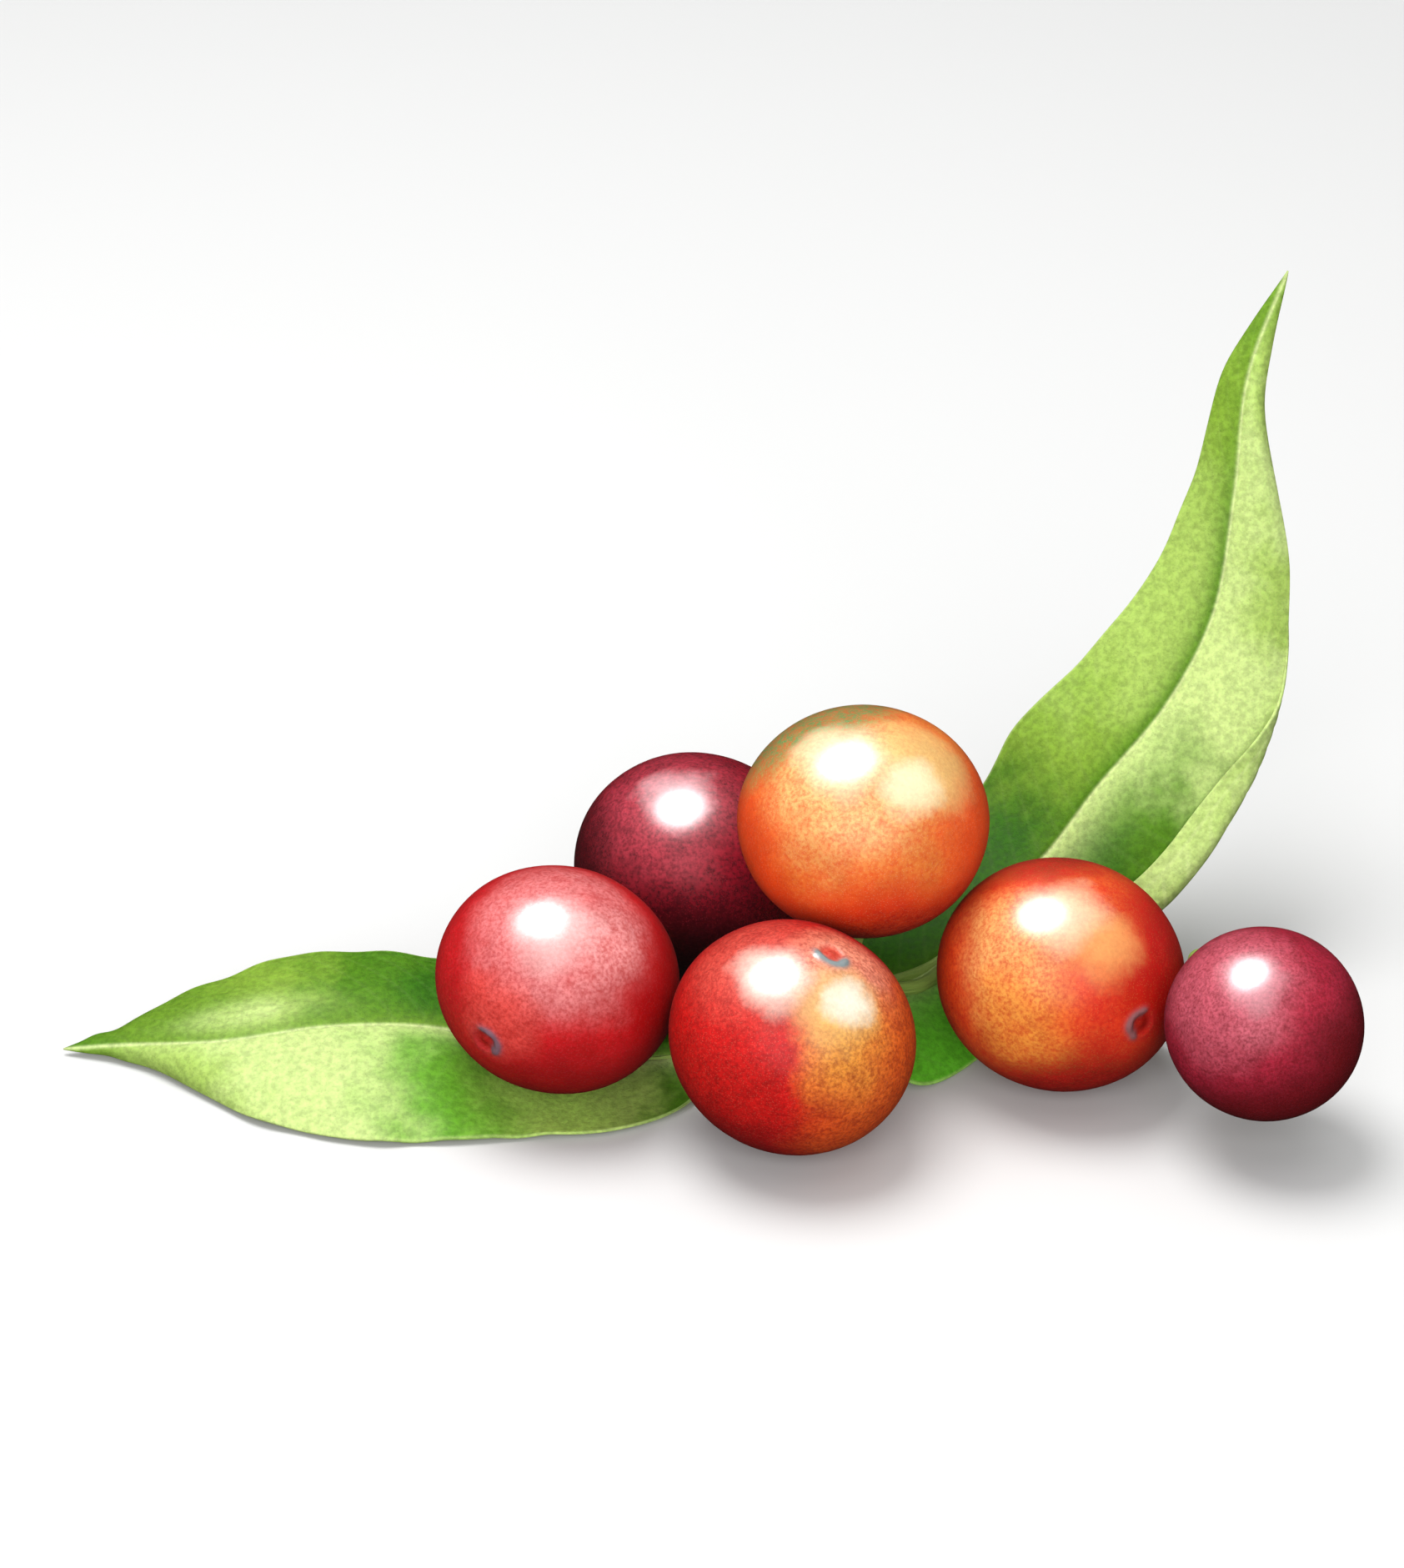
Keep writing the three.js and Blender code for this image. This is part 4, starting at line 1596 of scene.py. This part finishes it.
FRUITS = (
    Fruit(
        "fruit_maroon_back", "skin_maroon", (-0.94, 6.86, 12.32), 12.75, 0.95, 17.5,
        (-0.30, 0.80, 0.50), (0.35, -0.80, -0.49),
        SkinFinish(
            "maroon_skin", 12.75, Tint.MAROON,
            (
                # painted light on the upper left, painted shade at the bottom and along the left
                # rim
                ColourOrPaintedLight(-0.3, 0.55, Tint.MAROON_BLOOM, 36.0, 0.22, 0.75),
                ColourOrPaintedLight(0.0, -0.95, Tint.MAROON_DARK, 52.0, 0.3, 0.97),
                ColourOrPaintedLight(-0.99, -0.1, Tint.MAROON_RIM, 40.0, 0.2, 0.9),
            ),
            # a painted highlight
            (ColourOrPaintedLight(-0.16, 0.66, Tint.MAROON_SHEEN, 13.0, 0.05, 0.7),),
            Tint.MAROON_DARK,
            Tint.MAROON_BLOOM,
            Tint.MAROON_RIM,
        ),
        way=((4.2, -9.2, 4.7), (3.9, -6.2, 5.6)),
    ),
    Fruit(
        "fruit_orange_top", "skin_orange", (15.99, -7.52, 26.42), 12.73, 0.927, 1.7,
        (-0.10, 0.80, 0.59), (-0.10, -0.25, -0.96),
        SkinFinish(
            "orange_skin", 12.73, Tint.ORANGE,
            (
                ColourOrPaintedLight(-0.16, 0.36, Tint.APRICOT, 39.0, 0.18, 0.95),
                ColourOrPaintedLight(-0.97, -0.3, Tint.TANGERINE, 43.0, 0.2, 0.95),
                ColourOrPaintedLight(0.98, -0.1, Tint.TANGERINE, 38.0, 0.2, 0.9),
                ColourOrPaintedLight(0.1, -0.99, Tint.VERMILION, 52.0, 0.25, 0.95),
                # painted shade at the bottom
                ColourOrPaintedLight(0.25, -0.97, Tint.WINE, 34.0, 0.16, 0.85),
                ColourOrPaintedLight(-0.5, 0.95, Tint.OLIVE, 45.0, 0.14, 1.0),
            ),
            # painted highlights, and a painted halo round the smaller one
            (
                ColourOrPaintedLight(0.5, 0.48, Tint.APRICOT, 24.0, 0.08, 0.8),
                ColourOrPaintedLight(-0.23, 0.56, Tint.CREAM, 17.0, 0.07, 0.8),
                ColourOrPaintedLight(0.37, 0.26, Tint.CREAM, 13.0, 0.035, 1.0),
            ),
            Tint.TANGERINE,
            Tint.CREAM,
            Tint.VERMILION,
        ),
        way=((9.6, -9.0, 4.1), (12.2, -8.3, 8.6)),
    ),
    Fruit(
        "fruit_red_left", "skin_red", (-14.76, -16.39, 13.23), 12.40, 0.924, 16.3,
        (-0.58, -0.79, -0.14), (0.66, 0.68, -0.31),
        SkinFinish(
            "red_skin", 12.40, Tint.RED,
            (
                # painted glow round the highlight
                ColourOrPaintedLight(0.06, 0.47, Tint.ROSE, 47.0, 0.16, 0.94),
                ColourOrPaintedLight(-0.48, -0.3, Tint.CORAL, 18.0, 0.08, 0.75),
                # a painted sheen
                ColourOrPaintedLight(0.42, 0.32, Tint.ROSE_SHEEN, 16.0, 0.08, 0.45),
                # painted shade on the right and at the bottom
                ColourOrPaintedLight(0.99, -0.25, Tint.WINE, 44.0, 0.25, 0.95),
                ColourOrPaintedLight(0.0, -0.99, Tint.WINE, 38.0, 0.24, 0.85),
            ),
            # a painted highlight
            (ColourOrPaintedLight(0.0, 0.45, Tint.ROSE_SHEEN, 17.0, 0.07, 0.85),),
            Tint.DUSK_RED,
            Tint.ROSE,
            Tint.WINE,
        ),
        gap=(-0.89, -0.45),
        way=((0.2, -8.5, 5.1), (-3.4, -8.1, 7.4)),
    ),
    Fruit(
        "fruit_red_orange_front", "skin_red_orange", (8.69, -25.48, 12.11), 12.44, 0.932, 23.0,
        (0.33, -0.13, 0.935), (-0.05, 0.72, -0.69),
        SkinFinish(
            "red_orange_skin", 12.44, Tint.SCARLET,
            (
                ColourOrPaintedLight(-0.34, 0.68, Tint.BRICK, 29.0, 0.16, 0.9),
                ColourOrPaintedLight(0.5, 0.55, Tint.SALMON, 30.0, 0.14, 1.0),
                ColourOrPaintedLight(0.6, -0.12, Tint.AMBER, 30.0, 0.13, 0.97),
                ColourOrPaintedLight(0.6, -0.72, Tint.RUST, 36.0, 0.18, 0.85),
                ColourOrPaintedLight(0.99, 0.0, Tint.RUST, 35.0, 0.14, 0.9),
                # painted shade low on the left
                ColourOrPaintedLight(-0.45, -0.9, Tint.WINE, 36.0, 0.22, 0.9),
            ),
            # painted highlights, with a painted apricot halo round the smaller one
            (
                ColourOrPaintedLight(0.36, 0.3, Tint.APRICOT, 19.0, 0.07, 0.8),
                ColourOrPaintedLight(-0.18, 0.56, Tint.IVORY, 14.0, 0.05, 0.7),
                ColourOrPaintedLight(0.45, 0.31, Tint.IVORY, 11.0, 0.025, 1.0),
            ),
            Tint.EMBER,
            Tint.SALMON,
            Tint.DUSK_RED,
            Tint.SCAR_PALE,
        ),
        gap=(0.3, 0.95),
        way=((11.2, -7.9, 3.7), (11.0, -11.4, 4.2), (9.3, -14.6, 3.8)),
    ),
    Fruit(
        "fruit_orange_right", "skin_orange_red", (35.96, -13.62, 12.08), 12.64, 0.935, 15.7,
        (0.6, -0.8, 0.02), (-0.82, 0.49, -0.31),
        SkinFinish(
            "orange_red_skin", 12.64, Tint.FLAME,
            (
                ColourOrPaintedLight(-0.57, 0.2, Tint.HONEY, 29.0, 0.13, 0.92),
                ColourOrPaintedLight(-0.34, -0.4, Tint.GOLD, 24.0, 0.13, 0.92),
                ColourOrPaintedLight(0.42, -0.32, Tint.VERMILION, 24.0, 0.14, 0.85),
                ColourOrPaintedLight(0.97, 0.1, Tint.DUSK_RED, 46.0, 0.2, 0.97),
                # painted shade at the bottom
                ColourOrPaintedLight(0.15, -0.99, Tint.WINE, 46.0, 0.22, 0.92),
                ColourOrPaintedLight(-0.1, 0.99, Tint.UMBER, 26.0, 0.12, 0.9),
                ColourOrPaintedLight(-0.99, 0.05, Tint.TANGERINE, 31.0, 0.12, 0.9),
            ),
            # painted highlights
            (
                ColourOrPaintedLight(0.32, 0.24, Tint.HONEY, 14.0, 0.06, 0.8),
                ColourOrPaintedLight(0.0, 0.55, Tint.CREAM, 15.0, 0.06, 0.75),
            ),
            Tint.SCARLET,
            Tint.HONEY,
            Tint.SCAR_DEEP,
            Tint.SCAR_ROSE,
        ),
        gap=(0.93, -0.36),
        way=((10.8, -8.3, 3.9), (15.6, -9.8, 7.4), (21.6, -8.9, 7.7)),
    ),
    Fruit(
        "fruit_crimson_right", "skin_crimson", (55.44, -25.88, 13.95), 9.94, 0.971, 19.9,
        (0.45, -0.2, -0.87), (-0.49, 0.86, 0.10),
        SkinFinish(
            "crimson_skin", 9.94, Tint.CRIMSON,
            (
                # painted light on the upper left, then painted shade on the lower right and at the
                # bottom
                ColourOrPaintedLight(-0.5, 0.42, Tint.CRIMSON_BLOOM, 45.0, 0.2, 0.8),
                ColourOrPaintedLight(0.85, -0.5, Tint.CRIMSON_DARK, 52.0, 0.28, 0.95),
                ColourOrPaintedLight(-0.05, -0.99, Tint.CRIMSON_DARK, 44.0, 0.24, 0.92),
            ),
            # a painted highlight
            (ColourOrPaintedLight(-0.21, 0.47, Tint.CRIMSON_SHEEN, 14.0, 0.06, 0.75),),
            Tint.CRIMSON_DARK,
            Tint.CRIMSON_BLOOM,
            Tint.CRIMSON_DARK,
        ),
    ),
)

TWIG = Twig(
    (
        (-5.2, -8.0, 5.2), (-0.2, -8.5, 5.1), (3.8, -9.2, 4.8), (8.8, -9.2, 4.2),
        (13.8, -6.0, 3.0), (21.8, -1.7, 2.0), (32.8, -0.4, 1.7), (42.8, -4.7, 2.4),
        (47.0, -9.5, 3.5), (50.0, -13.5, 8.0),
    )
)

LEAVES = (
    Leaf(
        "leaf_left",
        "leaf_green",
        Guide(((8.6, -10.2, 3.8), (8.1, -11.4, 3.2), (7.0, -13.0, 2.5), (4.7, -13.4, 2.1))),
        Guide((
            (2.6, -12.9, 2.0), (-1.2, -12.6, 1.7), (-9.2, -12.5, 1.1), (-16.8, -12.0, 1.15),
            (-26.6, -11.9, 4.5), (-37.6, -12.8, 5.4), (-49.0, -14.1, 4.4), (-59.2, -11.1, 2.0),
            (-65.9, -9.7, 0.6),
        )),
        Guide((
            (2.6, -12.9, 2.0), (-2.5, -20.9, 0.7), (-9.2, -24.8, 0.65), (-16.6, -25.7, 0.65),
            (-25.6, -26.6, 0.6), (-34.6, -26.6, 0.6), (-45.3, -22.6, 0.6), (-57.9, -12.2, 0.6),
            (-65.9, -9.7, 0.6),
        )),
        Guide((
            (2.6, -12.9, 2.0), (-2.2, -5.7, 2.2), (-9.8, -1.2, 2.4), (-17.2, 0.8, 3.8),
            (-28.0, -0.9, 6.2), (-39.6, -0.1, 6.4), (-50.2, -2.6, 4.6), (-60.0, -7.6, 2.0),
            (-65.9, -9.7, 0.6),
        )),
        (-0.31, 0.0),
        (0.6, 0.5),
        (0.36, 0.56),
        LeafFinish(
            "low_leaf",
            # mostly painted light and shade: darker at the base under the fruits, the red fruit's
            # painted shadow, and painted light beside it
            (
                (0.0, Tint.LEAF_DEEP), (0.12, Tint.LEAF_DARK), (0.22, Tint.LEAF_LIGHT),
                (0.33, Tint.LEAF_FRESH), (0.49, Tint.LEAF_SHADE), (0.64, Tint.LEAF_PALE),
                (0.7, Tint.LEAF_PALE), (0.8, Tint.LEAF_LIGHT), (1.0, Tint.LEAF_GREEN),
            ),
            # the far half painted darker as shade, most of all near the fruits
            (
                (0.0, Tint.LEAF_DEEP), (0.48, Tint.LEAF_DEEP), (0.6, Tint.LEAF_DARK),
                (0.69, Tint.LEAF_MID), (0.8, Tint.LEAF_GREEN), (1.0, Tint.LEAF_DARK),
            ),
            # painted light beside the midrib
            (Tint.LEAF_PALE, Tint.LEAF_GREEN),
        ),
    ),
    Leaf(
        "leaf_right",
        "leaf_green_upright",
        Guide(((8.9, -8.5, 4.8), (9.2, -7.3, 5.6), (10.2, -6.1, 6.4))),
        Guide((
            (13.2, -6.0, 6.4), (21.4, -3.7, 5.8), (29.4, 2.5, 9.9), (35.6, 7.1, 14.0),
            (40.9, 11.4, 19.4), (48.0, 16.0, 26.5), (52.9, 20.3, 34.9), (55.1, 25.8, 46.3),
            (56.5, 31.5, 57.3), (60.7, 37.1, 66.9),
        )),
        Guide((
            (13.2, -6.0, 6.4), (17.2, 3.8, 8.8), (23.3, 11.2, 14.0), (28.9, 14.4, 17.7),
            (32.3, 17.5, 23.0), (39.7, 21.3, 29.5), (46.6, 24.8, 37.6), (50.9, 28.3, 46.8),
            (54.2, 32.9, 57.6), (60.7, 37.1, 66.9),
        )),
        Guide((
            (13.2, -6.0, 6.4), (21.4, -16.6, 0.8), (33.5, -5.0, 1.5), (42.2, -0.3, 7.3),
            (48.2, 2.5, 11.1), (55.0, 8.9, 18.1), (59.7, 15.4, 27.4), (60.8, 22.0, 38.8),
            (58.2, 30.7, 54.8), (60.7, 37.1, 66.9),
        )),
        (0.2, 0.0),
        (0.5, 0.9),
        (0.30, 0.50),
        LeafFinish(
            "tall_leaf",
            # mostly painted light and shade: painted shade at the base behind the fruits, a
            # lighter middle
            (
                (0.0, Tint.LEAF_DEEP), (0.3, Tint.LEAF_DEEP), (0.46, Tint.LEAF_MID),
                (0.6, Tint.LEAF_LIGHT), (0.7, Tint.LEAF_LIGHT), (0.86, Tint.LEAF_MID),
                (0.96, Tint.LEAF_GREEN), (1.0, Tint.LEAF_GREEN),
            ),
            # painted light in the shade between the fruits, then painted shade beside the rolled
            # margin
            (
                (0.0, Tint.LEAF_BRIGHT), (0.2, Tint.LEAF_BRIGHT), (0.37, Tint.LEAF_DEEP),
                (0.455, Tint.LEAF_DARK), (0.6, Tint.LEAF_PALE), (0.66, Tint.LEAF_PALE),
                (0.74, Tint.LEAF_LIGHT), (0.83, Tint.LEAF_PALE), (0.91, Tint.LEAF_LIGHT),
                (1.0, Tint.LEAF_GREEN),
            ),
            # painted shade on the left of the midrib and a painted highlight on its right
            (Tint.LEAF_DARK, Tint.LEAF_PALE),
        ),
        roll=Roll((0.22, 0.33), (0.5, 0.74), 0.85, 204.0, 3.1),
        strips=(1.6, 2.9),
        gleam=(0.8, 0.25),
        ripple=0.08,
    ),
)


# The studio


@dataclass(frozen=True)
class Softbox:
    """A large soft light that faces the sprig.

    Attributes:
        name: The light's name.
        toward: The direction in which it stands, seen from the sprig.
        distance: How far away it is, in metres.
        width: Its width in metres.
        depth: Its depth in metres.
        power: Its power in watts.
        mirrored: Whether it shows in glossy skin.
    """

    name: str
    toward: Point
    distance: float
    width: float
    depth: float
    power: float
    mirrored: bool = True

    def build(self, target: Vector) -> None:
        """Puts the light in the scene.

        Args:
            target: What it faces, in metres.
        """
        lamp = bpy.data.lights.new(self.name, "AREA")
        lamp.shape = "ELLIPSE"
        lamp.size, lamp.size_y = self.width, self.depth
        lamp.energy = self.power
        holder = bpy.data.objects.new(self.name, lamp)
        way = Vector(self.toward).normalized()
        holder.location = target + way * self.distance
        holder.rotation_euler = way.to_track_quat("Z", "Y").to_euler()
        holder.visible_glossy = self.mirrored
        bpy.context.scene.collection.objects.link(holder)


@dataclass(frozen=True)
class Studio:
    """The floor, the lights and the camera.

    Attributes:
        camera: Where the camera stands, in millimetres.
        tilt: How far it is raised from looking straight down, in degrees.
        lens: Its focal length in millimetres.
        target: What the lights face, in millimetres.
        boxes: The soft lights.
        sky: How bright the pale surroundings are.
        mirrored: How much of that shows in glossy skin.
        high_glow: The colour of the surroundings above.
        low_glow: Their colour below the floor's edge.
        floor: The width of the floor in metres.
    """

    camera: Point = (-0.18, -518.46, 326.02)
    tilt: float = 60.0
    lens: float = 135.1
    target: Point = (5.0, -8.0, 15.0)
    boxes: tuple[Softbox, ...] = (
        Softbox("key_box", (-0.2, 0.12, 0.97), 0.55, 0.37, 0.34, 2.5),
        Softbox("ceiling", (-0.08, 0.05, 1.0), 1.2, 1.7, 1.7, 6.0, mirrored=False),
        Softbox("front_fill", (-0.04, -0.9, 0.4), 1.0, 1.3, 0.9, 10.2, mirrored=False),
    )
    sky: float = 0.4
    mirrored: float = 0.03
    high_glow: tuple[float, float, float, float] = (0.97, 0.98, 1.0, 1.0)
    low_glow: tuple[float, float, float, float] = (0.5, 0.49, 0.47, 1.0)
    floor: float = 6.0

    BLACK = (0.0, 0.0, 0.0, 1.0)
    HORIZON = (-0.25, 0.05)
    NEAR_CLIP = 0.01
    FAR_CLIP = 50.0

    def build(self, effects: Effects) -> None:
        """Puts the floor, the lights, the surroundings and the camera in the scene.

        Args:
            effects: The shared node groups.
        """
        target = Vector(self.target) * MM
        for box in self.boxes:
            box.build(target)
        self._surround()
        self._lay_floor(effects)
        lens = bpy.data.cameras.new("camera")
        lens.lens = self.lens
        lens.clip_start, lens.clip_end = self.NEAR_CLIP, self.FAR_CLIP
        holder = bpy.data.objects.new("camera", lens)
        holder.location = Vector(self.camera) * MM
        holder.rotation_euler = (math.radians(self.tilt), 0.0, 0.0)
        bpy.context.scene.collection.objects.link(holder)
        bpy.context.scene.camera = holder

    def _surround(self) -> None:
        """Makes the surroundings a plain pale glow."""
        world = bpy.data.worlds.new("pale_room")
        world.use_nodes = True
        board = Board(world.node_tree)
        way = board.add("ShaderNodeTexCoord").outputs["Generated"]
        height = board.add("ShaderNodeSeparateXYZ", {"Vector": way}).outputs["Z"]
        risen = board.step(height, *self.HORIZON)
        glow = board.mix(risen, self.low_glow, self.high_glow)
        glossy = board.add("ShaderNodeLightPath").outputs["Is Glossy Ray"]
        dimmed = board.math("MULTIPLY", glossy, 1.0 - self.mirrored)
        glow = board.mix(dimmed, glow, self.BLACK)
        board.fill(world.node_tree.nodes["Background"], {"Color": glow, "Strength": self.sky})
        bpy.context.scene.world = world
        bpy.context.scene.view_settings.view_transform = "Standard"

    def _lay_floor(self, effects: Effects) -> None:
        """Lays the floor, level with the sprig's lowest point.

        Args:
            effects: The shared node groups.
        """
        half = self.floor / 2
        mesh = bpy.data.meshes.new("floor")
        corners = [(-half, -half, 0.0), (half, -half, 0.0), (half, half, 0.0), (-half, half, 0.0)]
        mesh.from_pydata(corners, [], [(0, 1, 2, 3)])
        ground = bpy.data.objects.new("floor", mesh)
        ground.data.materials.append(FloorFinish().material(effects))
        ground.visible_glossy = False
        ground.visible_diffuse = False
        bpy.context.scene.collection.objects.link(ground)


def main() -> None:
    """Builds the sprig round the frame, and the studio round the sprig."""
    logging.basicConfig(level=logging.INFO, format="%(message)s")
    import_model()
    effects = Effects()
    for fruit in FRUITS:
        place_piece(fruit.build(), fruit.finish.material(effects), fruit.name)
        if fruit.way:
            stalk = fruit.stalk_piece().build()
            place_piece(stalk, STALK_FINISH.material(effects), "twig")
    twig = TWIG.stem(FRUITS[-1]).build()
    place_piece(twig, BARK_FINISH.material(effects), "twig")
    for leaf in LEAVES:
        place_piece(leaf.build(), leaf.finish.material(effects), leaf.name)
        petiole = leaf.petiole_piece().build()
        place_piece(petiole, STALK_FINISH.material(effects), leaf.name)
    Studio().build(effects)
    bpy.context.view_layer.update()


if __name__ == "__main__":
    main()
